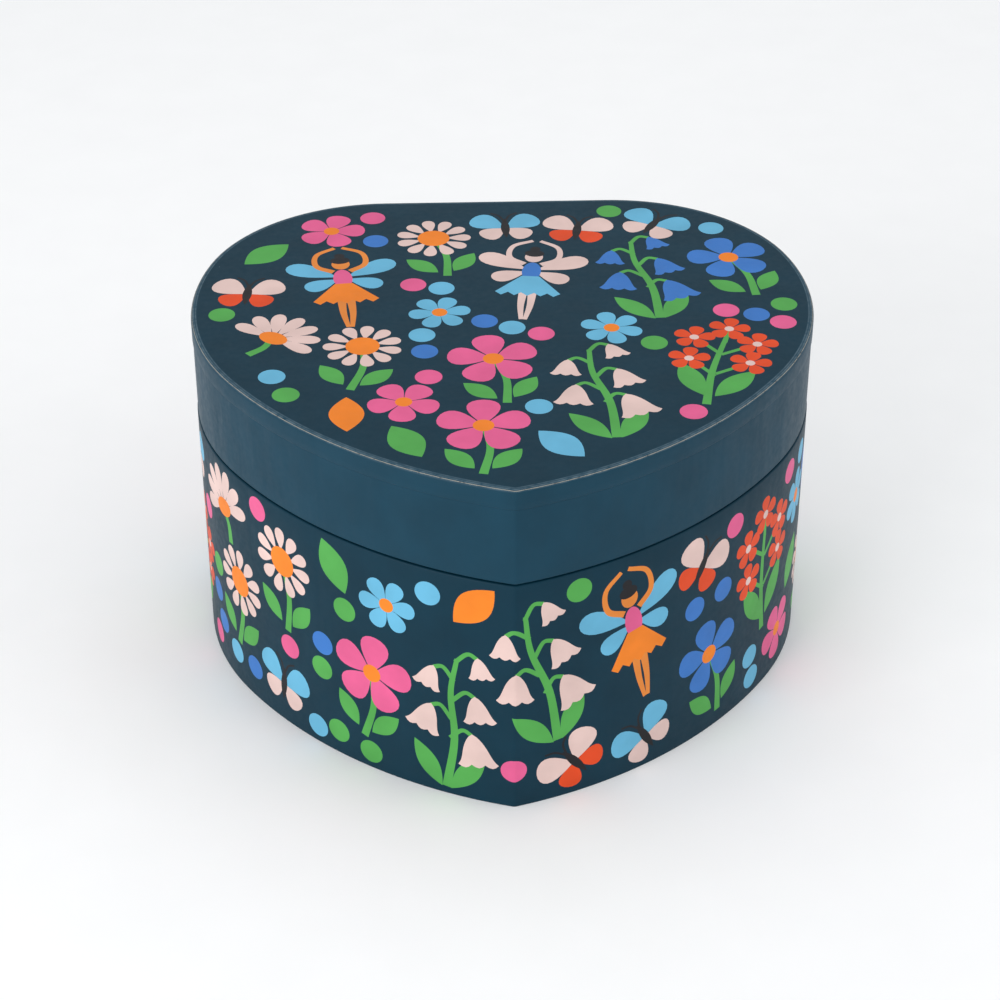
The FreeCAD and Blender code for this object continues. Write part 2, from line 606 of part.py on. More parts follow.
def make_barrel():
    """Spring barrel, its cover, the great wheel and the mainspring inside."""
    bore = ARBOR_RADIUS + RUNNING_GAP
    drum = rod_y(0, AXLE_HEIGHT, BARREL_FRONT + GLUE, BARREL_BACK, BARREL_RADIUS)
    hollow = rod_y(
        0, AXLE_HEIGHT, BARREL_FRONT + BARREL_WALL, BARREL_BACK + 1, BARREL_RADIUS - BARREL_WALL
    )
    drum = drum.cut(hollow).cut(rod_y(0, AXLE_HEIGHT, 0, BACK_Y, bore))
    export("spring_barrel", drum)
    cover = rod_y(
        0, AXLE_HEIGHT, BARREL_BACK - BARREL_WALL, BARREL_BACK, BARREL_RADIUS - BARREL_WALL - GLUE
    )
    export("barrel_cover", cover.cut(rod_y(0, AXLE_HEIGHT, 0, BACK_Y, bore)))
    wheel = gear(GREAT_TEETH, DRIVE_MODULE, GEAR_WIDTH, 0, bore)
    export("great_wheel", facing_y(wheel, 0, GREAT_Y + GEAR_WIDTH, AXLE_HEIGHT))
    inner = ARBOR_RADIUS + 1.0
    room = BARREL_RADIUS - BARREL_WALL - inner - 2 * MAINSPRING
    strip = spiral_face(inner, room / (2 * SPRING_TURNS), MAINSPRING, 2 * SPRING_TURNS)
    length = BARREL_LENGTH - 2 * BARREL_WALL - 1.0
    coil = strip.extrude(Vector(0, 0, length))
    export("mainspring", facing_y(coil, 0, BARREL_BACK - BARREL_WALL - 0.5, AXLE_HEIGHT))


# ================================================================ cylinder and comb
def make_cylinder():
    """Pinned drum, its arbor with the driven pinion, and the fast wheel."""
    drum = rod_y(CYL_X, AXLE_HEIGHT, DRUM_Y, DRUM_Y + DRUM_LENGTH, DRUM_RADIUS)
    hollow = rod_y(
        CYL_X, AXLE_HEIGHT, DRUM_Y + DRUM_WALL, DRUM_Y + DRUM_LENGTH - DRUM_WALL, DRUM_RADIUS - DRUM_WALL
    )
    drum = drum.cut(hollow).cut(rod_y(CYL_X, AXLE_HEIGHT, DRUM_Y - 1, BACK_Y, CYL_ARBOR_RADIUS))
    export("cylinder_drum", drum)

    pins = []
    for lane in range(COMB_TEETH):
        y = COMB_Y0 + (lane + 0.5) * COMB_PITCH
        for beat in range(4):
            turn = math.radians(15 * ((lane * 5 + beat * 7 + beat * lane) % 24) + 4)
            out = Vector(math.cos(turn), 0, math.sin(turn))
            seat = Vector(CYL_X, y, AXLE_HEIGHT) + out * (DRUM_RADIUS - DRUM_WALL / 2)
            pins.append(Part.makeCylinder(PIN_RADIUS, PIN_HEIGHT + DRUM_WALL / 2, seat, out))
    export("cylinder_pins", Part.makeCompound(pins))

    arbor = rod_y(CYL_X, AXLE_HEIGHT, FAST_Y - 1.5 - POST_THICK, GREAT_Y + GEAR_WIDTH + 1.5 + POST_THICK,
                  CYL_ARBOR_RADIUS)
    pinion = gear(PINION_TEETH, DRIVE_MODULE, GEAR_WIDTH, math.pi / PINION_TEETH, 0)
    export("cylinder_arbor", fuse(arbor, facing_y(pinion, CYL_X, GREAT_Y + GEAR_WIDTH, AXLE_HEIGHT)))
    wheel = gear(WHEEL_TEETH, FAST_MODULE, FAST_WIDTH, 0, CYL_ARBOR_RADIUS)
    export("cylinder_wheel", facing_y(wheel, CYL_X, FAST_Y + FAST_WIDTH, AXLE_HEIGHT))


def make_comb():
    """The steel comb, the block under it and its three screws."""
    plate = box(COMB_TIP_X, COMB_BACK_X, COMB_Y0, COMB_Y1, COMB_BOTTOM, COMB_BOTTOM + COMB_THICK)
    gap = 0.5
    for n in range(1, COMB_TEETH):
        y = COMB_Y0 + n * COMB_PITCH
        reach = COMB_ROOT_X - 5.0 * n / COMB_TEETH
        slot = box(COMB_TIP_X - 1, reach, y - gap / 2, y + gap / 2, 0, BOX_HEIGHT)
        plate = plate.cut(slot)
    block = box(COMB_ROOT_X + 0.5, COMB_BACK_X, COMB_Y0, COMB_Y1, BED_TOP, COMB_BOTTOM)
    screws = []
    for y in COMB_SCREW_PLACES:
        plate = plate.cut(rod_z(COMB_SCREW_X, y, 0, BOX_HEIGHT, SCREW_SHANK + SCREW_GAP))
        block = block.cut(rod_z(COMB_SCREW_X, y, COMB_BOTTOM - 6, COMB_BOTTOM + 1, SCREW_SHANK))
        top = COMB_BOTTOM + COMB_THICK
        head = rod_z(COMB_SCREW_X, y, top, top + 1.5, SCREW_HEAD)
        slot = box(COMB_SCREW_X - 4, COMB_SCREW_X + 4, y - 0.35, y + 0.35, top + 0.8, top + 2)
        shank = rod_z(COMB_SCREW_X, y, COMB_BOTTOM - 5, top, SCREW_SHANK)
        screws.append(fuse(head, shank).cut(slot))
    export("comb", plate)
    export("comb_base", block)
    export("comb_screws", Part.makeCompound(screws))


# ================================================================ governor
GOV_FRONT = WORM_Y - 4.5
GOV_REAR = FAST_Y + FAST_WIDTH + 1.5
WORM_CORE = WORM_RADIUS - 0.55
WORM_TOP = WORM_RADIUS + 0.4
FAN_RADIUS = 6.5


def make_governor():
    """Fast arbor with its worm wheel, and the worm shaft with the air-brake fan."""
    arbor = rod_y(GOV_X, AXLE_HEIGHT, GOV_FRONT, GOV_REAR + GOV_PLATE, FAST_ARBOR_RADIUS)
    pinion = gear(FAST_PINION_TEETH, FAST_MODULE, FAST_WIDTH, math.pi / FAST_PINION_TEETH, 0)
    pinion = facing_y(pinion, GOV_X, FAST_Y + FAST_WIDTH, AXLE_HEIGHT)
    export("governor_pinion", fuse(arbor, pinion))
    width = FAST_WIDTH
    wheel = gear(WORM_WHEEL_TEETH, WORM_MODULE, width, 0, FAST_ARBOR_RADIUS)
    export("worm_wheel", facing_y(wheel, GOV_X, WORM_Y + width / 2, AXLE_HEIGHT))

    # one right-hand thread; its groove faces the wheel's tooth on the line of centres
    lead = math.pi * WORM_MODULE
    turns = 5
    thread_bottom = AXLE_HEIGHT - lead * turns / 2
    helix = Part.makeHelix(lead, lead * turns, WORM_RADIUS)
    inner = WORM_CORE - 0.1
    profile = Part.makePolygon([
        Vector(inner, 0, -0.32 * lead / 2 - 0.12),
        Vector(WORM_TOP, 0, -0.10 * lead),
        Vector(WORM_TOP, 0, 0.10 * lead),
        Vector(inner, 0, 0.32 * lead / 2 + 0.12),
        Vector(inner, 0, -0.32 * lead / 2 - 0.12),
    ])
    thread = Part.Wire(helix).makePipeShell([profile], True, True)
    thread.translate(Vector(WORM_X, WORM_Y, thread_bottom))
    core = rod_z(WORM_X, WORM_Y, thread_bottom - 1, thread_bottom + lead * turns + 1, WORM_CORE)
    shaft = rod_z(WORM_X, WORM_Y, BED_TOP + 1.2, FAN_BOTTOM + FAN_HEIGHT, FAST_ARBOR_RADIUS)
    export("worm_shaft", core.fuse([shaft, thread]))

    hub = rod_z(WORM_X, WORM_Y, FAN_BOTTOM, FAN_BOTTOM + FAN_HEIGHT, 1.8)
    blade = box(WORM_X - FAN_RADIUS, WORM_X + FAN_RADIUS, WORM_Y - 0.2, WORM_Y + 0.2,
                FAN_BOTTOM, FAN_BOTTOM + FAN_HEIGHT - 1)
    fan = fuse(hub, blade).cut(rod_z(WORM_X, WORM_Y, 0, BOX_HEIGHT, FAST_ARBOR_RADIUS))
    export("fly_fan", fan)


def make_stop():
    """Plunger pressed by the lid, with the wire whose pad rests on the fan's hub."""
    foot = WIRE_Z - WIRE_RADIUS
    stem = rod_z(PLUNGER_X, PLUNGER_Y, foot, COLLAR_TOP, WIRE_RADIUS)
    button = rod_z(PLUNGER_X, PLUNGER_Y, COLLAR_TOP - 2, COLLAR_TOP + 0.8, 1.8)
    export("stop_plunger", fuse(stem, button))
    wire = bar(Vector(PLUNGER_X + WIRE_RADIUS + GLUE, PLUNGER_Y, WIRE_Z),
               Vector(WORM_X + 1.5, PLUNGER_Y, WIRE_Z), WIRE_RADIUS * 0.6)
    collar = rod_z(PLUNGER_X, PLUNGER_Y, foot, WIRE_Z + WIRE_RADIUS, WIRE_RADIUS + 0.9)
    collar = collar.cut(rod_z(PLUNGER_X, PLUNGER_Y, 0, BOX_HEIGHT, WIRE_RADIUS))
    pad = rod_z(WORM_X, PLUNGER_Y, foot - BRAKE_PAD, WIRE_Z, 1.5)
    export("stop_wire", fuse(wire, collar, pad))


# ================================================================ figure
TURNTABLE_RADIUS = 13.0
TURNTABLE_THICK = 2.0
STAGE_GAP = 0.6
WING_FILM = 0.5


def make_figure():
    """Crown wheel and spindle under the deck, turntable and dancing figure above it."""
    tooth_bottom = AXLE_HEIGHT + PITCH_GREAT - 0.55
    plate = rod_z(0, SPINDLE_Y, CROWN_BOTTOM, CROWN_BOTTOM + CROWN_THICK, PITCH_CROWN + 1.0)
    teeth = []
    half = 0.14 * math.pi * DRIVE_MODULE
    for n in range(CROWN_TEETH):
        tooth = box(PITCH_CROWN - 1, PITCH_CROWN + 1, -half, half, tooth_bottom, CROWN_BOTTOM + 0.5)
        turn = 90 + (n + 0.5) * 360 / CROWN_TEETH
        tooth.rotate(Vector(0, 0, 0), Vector(0, 0, 1), turn)
        tooth.translate(Vector(0, SPINDLE_Y, 0))
        teeth.append(tooth)
    crown = plate.fuse(teeth).cut(rod_z(0, SPINDLE_Y, 0, BOX_HEIGHT, SPINDLE_RADIUS))
    export("crown_wheel", crown)

    stage_top = TRAY_FLOOR + STAGE_RISE
    table_bottom = stage_top + STAGE_GAP
    table_top = table_bottom + TURNTABLE_THICK
    export("figure_spindle", rod_z(0, SPINDLE_Y, CROWN_BOTTOM - 0.5, table_bottom, SPINDLE_RADIUS))
    table = rod_z(0, SPINDLE_Y, table_bottom, table_top, TURNTABLE_RADIUS)
    export("turntable", table)

    def at(x, y, z):
        return Vector(x, SPINDLE_Y + y, table_top + z)

    legs = [bar(at(s, 0, 0), at(s, 0, 11.5), 0.9) for s in (-1, 1)]
    torso = Part.makeCone(1.7, 2.5, 6.5, at(0, 0, 10.8))
    neck = bar(at(0, 0, 17), at(0, 0, 20), 0.9)
    head = Part.makeSphere(2.9, at(0, 0, 22))
    bun = Part.makeSphere(1.5, at(0, 0.6, 25.3))
    arms = [bar(at(s * 2.0, 0, 16.5), at(s * 6.5, 0, 21.5), 0.7) for s in (-1, 1)]
    export("figurine", torso.fuse(legs + [neck, head, bun] + arms))
    skirt = Part.makeCone(7.5, 2.2, 5.0, at(0, 0, 7.0))
    inner = Part.makeCone(6.9, 1.5, 4.6, at(0, 0, 6.9))
    skirt = skirt.cut(inner).cut(torso).cut(Part.makeCompound(legs))
    export("figurine_skirt", skirt.Solids[0])
    # four oval blades of film meeting on a small round tab behind the back
    wings = rod_y(0, 0, -WING_FILM, 0, 1.2)
    for side in (1, -1):
        for length, width, tilt in ((8.0, 3.4, 35), (5.5, 2.8, -25)):
            root = unit(math.radians(tilt)) * (length / 2 - 0.2)
            oval = Part.Ellipse(Vector(0, 0, 0), length / 2, width / 2).toShape()
            blade = Part.Face(Part.Wire(oval)).extrude(Vector(0, 0, WING_FILM))
            blade.rotate(Vector(0, 0, 0), Vector(0, 0, 1), tilt)
            blade.translate(root)
            blade.rotate(Vector(0, 0, 0), Vector(1, 0, 0), 90)
            if side < 0:
                blade.rotate(Vector(0, 0, 0), Vector(0, 0, 1), 180)
                blade.translate(Vector(0, -WING_FILM, 0))
            wings = wings.fuse(blade)
    wings.translate(at(0, 3.2, 15.0))
    export("figurine_wings", wings)


make_case()
make_tray()
make_lid()
make_frame()
make_winding()
make_barrel()
make_cylinder()
make_comb()
make_governor()
make_stop()
make_figure()
print(len(EXPORTED), "sub-parts")
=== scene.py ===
import math

import bpy
import numpy as np
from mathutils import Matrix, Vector, geometry


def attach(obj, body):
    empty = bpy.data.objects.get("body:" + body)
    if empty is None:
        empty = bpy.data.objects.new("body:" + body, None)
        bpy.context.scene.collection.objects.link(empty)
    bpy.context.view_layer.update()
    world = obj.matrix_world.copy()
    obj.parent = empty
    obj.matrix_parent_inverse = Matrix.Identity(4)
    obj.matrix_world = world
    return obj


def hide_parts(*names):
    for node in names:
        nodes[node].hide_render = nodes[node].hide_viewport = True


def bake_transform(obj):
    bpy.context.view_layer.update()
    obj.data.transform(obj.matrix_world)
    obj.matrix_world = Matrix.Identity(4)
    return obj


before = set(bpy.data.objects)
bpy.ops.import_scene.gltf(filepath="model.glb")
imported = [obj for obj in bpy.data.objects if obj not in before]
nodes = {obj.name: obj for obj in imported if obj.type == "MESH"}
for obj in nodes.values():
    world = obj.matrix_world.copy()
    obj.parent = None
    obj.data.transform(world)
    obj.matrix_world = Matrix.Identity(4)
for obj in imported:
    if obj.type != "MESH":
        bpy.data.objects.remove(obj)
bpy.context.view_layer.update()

# ================================================================ camera and studio
# A long lens looks down at the heart's front point.  The box stands on white card, lit by one
# wide soft lamp in front on the left, weaker ones on the right and overhead, and pale walls all
# round.
CAMERA_SIGHT = Vector((-0.0008, 0.0112, 0.0365))
CAMERA_TURN = math.radians(-1.95)
CAMERA_RISE = math.radians(34.0)
CAMERA_WAY = 0.696
LENS = 93.3

camera_from = Vector((
    math.sin(CAMERA_TURN) * math.cos(CAMERA_RISE),
    -math.cos(CAMERA_TURN) * math.cos(CAMERA_RISE),
    math.sin(CAMERA_RISE),
))
lens = bpy.data.cameras.new("camera")
lens.lens = LENS
lens.sensor_width = 36.0
lens.clip_start = 0.01
camera = bpy.data.objects.new("camera", lens)
camera.location = CAMERA_SIGHT + camera_from * CAMERA_WAY
camera.rotation_euler = (-camera_from).to_track_quat("-Z", "Y").to_euler()
bpy.context.scene.collection.objects.link(camera)
bpy.context.scene.camera = camera
bpy.context.scene.view_settings.view_transform = "Standard"


def add(tree, kind, feeds=None, **settings):
    """Add one shader node with its settings, and feed its sockets with values or other sockets."""
    node = tree.nodes.new("ShaderNode" + kind)
    for name, value in settings.items():
        setattr(node, name, value)
    for socket, value in (feeds or {}).items():
        if isinstance(value, bpy.types.NodeSocket):
            tree.links.new(value, node.inputs[socket])
        else:
            node.inputs[socket].default_value = value
    return node


def hex_colour(code):
    """An sRGB hex colour as linear red, green, blue and a full alpha."""
    srgb = np.array([int(code[n:n + 2], 16) for n in (1, 3, 5)]) / 255
    linear = np.where(srgb <= 0.04045, srgb / 12.92, ((srgb + 0.055) / 1.055) ** 2.4)
    return (*linear, 1.0)


def new_material(name):
    """An empty material, its tree and output node, and the place on the object in metres."""
    material = bpy.data.materials.new(name)
    material.use_nodes = True
    material.node_tree.nodes.clear()
    tree = material.node_tree
    return material, tree, add(tree, "OutputMaterial"), add(tree, "TexCoord").outputs["Object"]


LAMP_SIGHT = Vector((0, 0, 0.04))


def soft_lamp(name, place, size, power):
    """A square soft lamp that faces a point near the middle of the box."""
    lamp = bpy.data.lights.new(name, "AREA")
    lamp.size = size
    lamp.energy = power
    piece = bpy.data.objects.new(name, lamp)
    piece.location = place
    piece.rotation_euler = (LAMP_SIGHT - Vector(place)).to_track_quat("-Z", "Y").to_euler()
    bpy.context.scene.collection.objects.link(piece)


soft_lamp("lamp_left", (-0.80, -0.80, 0.38), 0.7, 6.4)
soft_lamp("lamp_right", (0.9, -0.35, 0.55), 0.6, 1.8)
soft_lamp("lamp_over", (0.0, 0.2, 1.2), 0.8, 2.0)

world = bpy.data.worlds.new("pale_walls")
world.use_nodes = True
world.node_tree.nodes.clear()
walls = add(world.node_tree, "Background", {"Color": hex_colour("#f4f6f8"), "Strength": 0.78})
add(world.node_tree, "OutputWorld", {"Surface": walls.outputs[0]})
bpy.context.scene.world = world

floor_mesh = bpy.data.meshes.new("floor")
floor_mesh.from_pydata([(-6, -6, 0), (6, -6, 0), (6, 6, 0), (-6, 6, 0)], [], [(0, 1, 2, 3)])
floor = bpy.data.objects.new("floor", floor_mesh)
bpy.context.scene.collection.objects.link(floor)
card, tree, out, place = new_material("white_card")
# matt card with a barely seen mottle, about 20 mm across
mottle = add(tree, "TexNoise", {"Vector": place, "Scale": 50.0})
tone = add(tree, "Mix", {0: mottle.outputs[0], 6: hex_colour("#fbfbfb"), 7: hex_colour("#ffffff")},
           data_type="RGBA")
skin = add(tree, "BsdfPrincipled", {"Base Color": tone.outputs[2], "Roughness": 0.9})
tree.links.new(skin.outputs[0], out.inputs["Surface"])
floor_mesh.materials.append(card)


# ================================================================ boards of the lower case
# Greyboard: pulped waste paper pressed into stiff sheets, die cut and glued up into the base, the
# wall, the inner support ring and the deck.  The pulp shows as fibres and specks.
MM = 0.001


def greyboard_material():
    """Matt grey board with fibres about 0.4 mm wide and darker specks about 1 mm apart."""
    material, tree, out, place = new_material("greyboard")
    fibre = add(tree, "TexNoise", {"Vector": place, "Scale": 2500.0, "Detail": 3.0})
    speck = add(tree, "TexNoise", {"Vector": place, "Scale": 1000.0, "Detail": 1.0})
    pulp = add(tree, "Mix", {0: fibre.outputs[0], 6: hex_colour("#8f8a80"), 7: hex_colour("#b3aea3")},
               data_type="RGBA")
    dark = add(tree, "MapRange", {0: speck.outputs[0], 1: 0.62, 2: 0.70})
    tone = add(tree, "Mix", {0: dark.outputs[0], 6: pulp.outputs[2], 7: hex_colour("#6a655d")},
               data_type="RGBA")
    relief = add(tree, "Bump", {"Strength": 0.35, "Distance": 0.05 * MM, "Height": fibre.outputs[0]})
    skin = add(tree, "BsdfPrincipled", {
        "Base Color": tone.outputs[2], "Roughness": 0.9, "Normal": relief.outputs[0],
    })
    tree.links.new(skin.outputs[0], out.inputs["Surface"])
    return material


def dress(material, *names):
    """Give CAD nodes their material."""
    for name in names:
        nodes[name].data.materials.clear()
        nodes[name].data.materials.append(material)


greyboard = greyboard_material()
dress(greyboard, "base_board", "case_wall", "support_ring", "deck_board", "lid_board", "lid_wall")

base_paper, tree, out, place = new_material("uncoated_base_paper")
# dark uncoated paper under the base, with a felt grain about 0.5 mm across
grain = add(tree, "TexNoise", {"Vector": place, "Scale": 2000.0, "Detail": 4.0})
tone = add(tree, "Mix", {0: grain.outputs[0], 6: hex_colour("#1c2a33"), 7: hex_colour("#2a3a44")},
           data_type="RGBA")
relief = add(tree, "Bump", {"Strength": 0.3, "Distance": 0.04 * MM, "Height": grain.outputs[0]})
skin = add(tree, "BsdfPrincipled", {
    "Base Color": tone.outputs[2], "Roughness": 0.85, "Normal": relief.outputs[0],
})
tree.links.new(skin.outputs[0], out.inputs["Surface"])
dress(base_paper, "base_paper")


# ================================================================ printed flowers, leaves and dancers
# The print of the covering paper: common flowers, leaves, spots, butterflies and small winged
# dancers, each made of even petals, ellipses and plain curves in flat inks on a dark ground.  A
# drawing is a list of outlines with their ink, in millimetres, the later printed over the earlier.
INKS = {
    "ground": "#073040",
    "rim": "#123b4d",
    "pink": "#de5e8e",
    "red": "#dc4a22",
    "orange": "#ec8127",
    "green": "#52a24e",
    "sky": "#66afd0",
    "blue": "#3b74bd",
    "cream": "#ddc0b9",
    "tan": "#e0853a",
    "black": "#242326",
}


def moved(drawing, x, y, turn=0.0, size=1.0, flip=1):
    """A drawing flipped left to right, scaled, turned by degrees and moved to a place."""
    c, s = math.cos(math.radians(turn)), math.sin(math.radians(turn))
    matrix = size * np.array([[c, s], [-s, c]])
    return [(np.asarray(points) * (flip, 1) @ matrix + (x, y), ink) for points, ink in drawing]


def mirrored(half):
    """A drawing together with its mirror image about the upright axis."""
    return half + moved(half, 0, 0, flip=-1)


DISC_SIDES = 28


def disc(x, y, wide, tall=None):
    """An ellipse: the cosine and the sine of an angle times half its width and height."""
    a = np.linspace(0, 2 * math.pi, DISC_SIDES, endpoint=False)
    return np.stack([x + np.cos(a) * wide / 2, y + np.sin(a) * (tall or wide) / 2], 1)


def leaf(length=15.5, wide=8.6):
    """A leaf pointed at both ends: half as wide as the sine of the way along it."""
    t = np.linspace(0, 1, 15)
    half = np.sin(math.pi * t) ** 0.92 * wide / 2
    x = (t - 0.5) * length
    return np.concatenate([np.stack([x, -half], 1), np.stack([x, half], 1)[-2:0:-1]])


PETAL_BELLY = 0.7


def petal(length, wide):
    """A petal from its foot: as wide as the sine of an angle times a power of the way along."""
    a = np.linspace(0, 2 * math.pi, 24, endpoint=False)
    along = (1 - np.cos(a)) / 2
    side = -np.sin(a) * along ** PETAL_BELLY
    return np.stack([along * length, side / np.abs(side).max() * wide / 2], 1)


def smooth(path, steps=7):
    """A Catmull-Rom curve through points: each span blends its two ends and their neighbours."""
    path = np.asarray(path, float)
    path = np.concatenate([2 * path[:1] - path[1:2], path, 2 * path[-1:] - path[-2:-1]])
    t = np.linspace(0, 1, steps, endpoint=False)[:, None, None]
    a, b, c, d = path[:-3], path[1:-2], path[2:-1], path[3:]
    curve = 0.5 * (2 * b + (c - a) * t + (2 * a - 5 * b + 4 * c - d) * t**2
                   + (3 * b - a - 3 * c + d) * t**3)
    return np.concatenate([curve.transpose(1, 0, 2).reshape(-1, path.shape[1]), path[-2:-1]])


def stroke(path, thick, thin=None):
    """A drawn line along a smooth curve, its width running from thick to thin."""
    line = smooth(path)
    way = np.gradient(line, axis=0)
    across = np.stack([-way[:, 1], way[:, 0]], 1) / np.linalg.norm(way, axis=1)[:, None]
    half = np.linspace(thick, thick if thin is None else thin, len(line))[:, None] / 2
    return np.concatenate([line - across * half, (line + across * half)[::-1]])


def around(shape, count, start, reach, spread, ink):
    """Copies of one outline turned about the middle of a flower, a little way out from it."""
    step = spread / (count if spread == 360.0 else count - 1)
    return [turned for n in range(count)
            for turned in moved([(shape + (reach, 0), ink)], 0, 0, start + n * step)]


def blossom(count, length, wide, ink, heart_ink, heart, reach=0.0):
    """A flower seen from in front: even petals round a middle."""
    petals = around(petal(length, wide), count, 90.0, reach, 360.0, ink)
    return petals + [(disc(0, 0, heart), heart_ink)]


def fan_flower(ink, heart_ink):
    """A flower seen from the side: seven petals over half a turn above a cup and a short stem."""
    foot = [(stroke([(0, -1), (1, -5), (0, -10)], 1.6, 2.2), "green")]
    return foot + around(petal(11, 4.0), 7, 0.0, 1.0, 180.0, ink) + [(disc(0, 0, 8, 5.4), heart_ink)]


def on_stem(flower):
    """A flower on a bent stem with a leaf on either side."""
    stem = [(stroke([(0, 0), (1.6, -10), (0, -21)], 1.4, 2.2), "green")]
    return moved(stem + mirrored(moved([(leaf(11, 5.4), "green")], 5.6, -14.5, 50)) + flower, 0, 6)


def bell():
    """A hanging bell: its half width grows as a quarter sine and flares at the lip, and three
    scallops run along its mouth."""
    t = np.linspace(0, 1, 12)
    half = 3.9 * np.sin(math.pi / 2 * t ** 0.7) + 1.5 * t ** 6
    u = np.linspace(1, -1, 13)[1:-1]
    mouth = np.stack([u * half[-1], -9.5 - np.abs(np.sin(1.5 * math.pi * (u + 1)))], 1)
    return np.concatenate([np.stack([half, -9.5 * t], 1), mouth, np.stack([-half, -9.5 * t], 1)[:0:-1]])


def bell_stem(ink):
    """An upright stem with five bells by turns on either side, smaller towards its tip."""
    drawing = [(stroke([(0, -20), (1.2, -4), (-0.6, 10), (0.4, 21)], 2.4, 1.2), "green")]
    drawing += mirrored(moved([(leaf(15, 5.6), "green")], 5.4, -14, 56))
    for n in range(5):
        side, foot = (-1) ** n, 6 * n - 4
        drawing.append((stroke([(0, foot), (3 * side, foot + 3.4), (5.6 * side, foot + 2.6)], 1.2), "green"))
        drawing += moved([(bell(), ink)], 5.6 * side, foot + 3, 14 * side, 1.0 - 0.09 * n)
    return drawing


def sprig(ink, heart_ink):
    """A branching sprig: five small flowers at the ends of its twigs and two long leaves."""
    drawing = [(stroke([(0, -20), (-1, -4), (0, 14)], 2.2, 1.2), "green")]
    drawing += mirrored(moved([(leaf(16, 6.2), "green")], 5.4, -9, 60))
    for x, y in ((0, 17), (-8, 11), (8, 11), (-7.6, 0.5), (7.6, 1.5)):
        drawing.append((stroke([(0, y - 7), (x, y)], 1.1), "green"))
        drawing += moved(blossom(5, 5.4, 3.8, ink, heart_ink, 2.4), x, y, 9 * x)
    return drawing


def butterfly(upper, lower):
    """A butterfly seen from above: two pairs of rounded wings, a dark body and two feelers."""
    half = moved([(petal(8, 6.4), lower)], 0, 0, -38) + moved([(petal(10.5, 8), upper)], 0, 0, 34)
    half.append((stroke([(0.2, 4), (1.4, 7), (3.6, 8.6)], 0.6), "black"))
    return mirrored(half) + moved([(leaf(11, 2.4), "black")], 0, 0, 90)


def dancer(dress, bodice, skin, wings):
    """A small winged dancer from in front: arms in a ring overhead, a bell skirt with a wavy hem
    and the feet together on their points.  The head is plain and has no face."""
    half = moved([(petal(15, 6.6), wings)], 1, 4, 28) + moved([(petal(10, 5.6), wings)], 1, 3, -26)
    half.append((stroke([(2.2, 7), (6.4, 10.5), (6, 16.5), (1, 20)], 1.8, 1.2), skin))
    half.append((stroke([(1.2, -8), (1.2, -15), (0.5, -22)], 2.3, 1.1), skin))
    t = np.linspace(0, 1, 21)
    hem = np.stack([(t - 0.5) * 17, 0.8 * np.cos(10 * math.pi * t) - 9], 1)
    skirt = np.concatenate([hem, [(2.3, 0.6), (-2.3, 0.6)]])
    return mirrored(half) + [
        (disc(0, 3.2, 5, 9.6), bodice), (skirt, dress), (disc(0, 11, 4.8, 5.6), skin),
        (disc(0, 13, 5.2, 3.6), "black"), (disc(0, 15.4, 2.8), "black"),
    ]


LARGE = [
    dancer("sky", "blue", "cream", "cream"),
    bell_stem("cream"),
    on_stem(blossom(11, 6.6, 3.5, "cream", "orange", 8.6, 3.4)),
    sprig("red", "cream"),
    on_stem(blossom(5, 11.6, 8.2, "pink", "orange", 5.2)),
    bell_stem("blue"),
    dancer("orange", "pink", "tan", "sky"),
    on_stem(blossom(5, 11, 7.6, "blue", "orange", 5.2)),
]
MEDIUM = [
    butterfly("sky", "cream"),
    fan_flower("cream", "orange"),
    blossom(5, 9, 6.6, "pink", "orange", 4.2),
    butterfly("cream", "red"),
    blossom(6, 8, 4.8, "sky", "orange", 4.0),
    fan_flower("pink", "cream"),
]
SMALL = [
    [(leaf(), "green")], [(disc(0, 0, 6.8), "pink")], [(leaf(), "sky")], [(disc(0, 0, 6.8), "blue")],
    [(leaf(), "green")], [(disc(0, 0, 6.8), "green")], [(leaf(), "orange")], [(disc(0, 0, 6.8), "sky")],
]


# ================================================================ the covering sheets: shared cutting
# The heart outline is four tangent arcs and a straight back; a way along it is measured from the
# front fold, positive to the right.
WIDE, DEEP = 160.0, 144.0
REAR_RADIUS, SIDE_RADIUS, FOLD_RADIUS = 48.5, 70.0, 2.0
REAR_TURN, FRONT_TURN = math.radians(18.5), math.radians(-33.5)


def unit(angle):
    """The unit vector at an angle."""
    return np.array([math.cos(angle), math.sin(angle)])


flat = WIDE / 2 - SIDE_RADIUS - (REAR_RADIUS - SIDE_RADIUS) * math.cos(REAR_TURN)
rear_centre = np.array([flat, DEEP / 2 - REAR_RADIUS])
side_centre = rear_centre + unit(REAR_TURN) * (REAR_RADIUS - SIDE_RADIUS)
leave = side_centre + unit(FRONT_TURN) * SIDE_RADIUS
reach = np.array([0.0, -DEEP / 2]) - leave
FRONT_RADIUS = -(reach @ reach) / (2 * unit(FRONT_TURN) @ reach)
front_centre = leave - unit(FRONT_TURN) * FRONT_RADIUS


def heart_arcs(inset):
    """Centre, radius and the two angles of each arc of the right half, moved in by inset."""
    fold = max(FOLD_RADIUS - inset, 0.5)
    reach = FRONT_RADIUS - inset - fold
    fold_centre = np.array([0.0, front_centre[1] - math.sqrt(reach**2 - front_centre[0] ** 2)])
    fold_turn = math.atan2(fold_centre[1] - front_centre[1], -front_centre[0])
    return [
        (fold_centre, fold, -math.pi / 2, fold_turn),
        (front_centre, FRONT_RADIUS - inset, fold_turn, FRONT_TURN),
        (side_centre, SIDE_RADIUS - inset, FRONT_TURN, REAR_TURN),
        (rear_centre, REAR_RADIUS - inset, REAR_TURN, math.pi / 2),
    ]


ARC_WAYS = np.cumsum([0.0] + [radius * (end - start) for _, radius, start, end in heart_arcs(0)] + [flat])
HALF_ROUND = ARC_WAYS[-1]


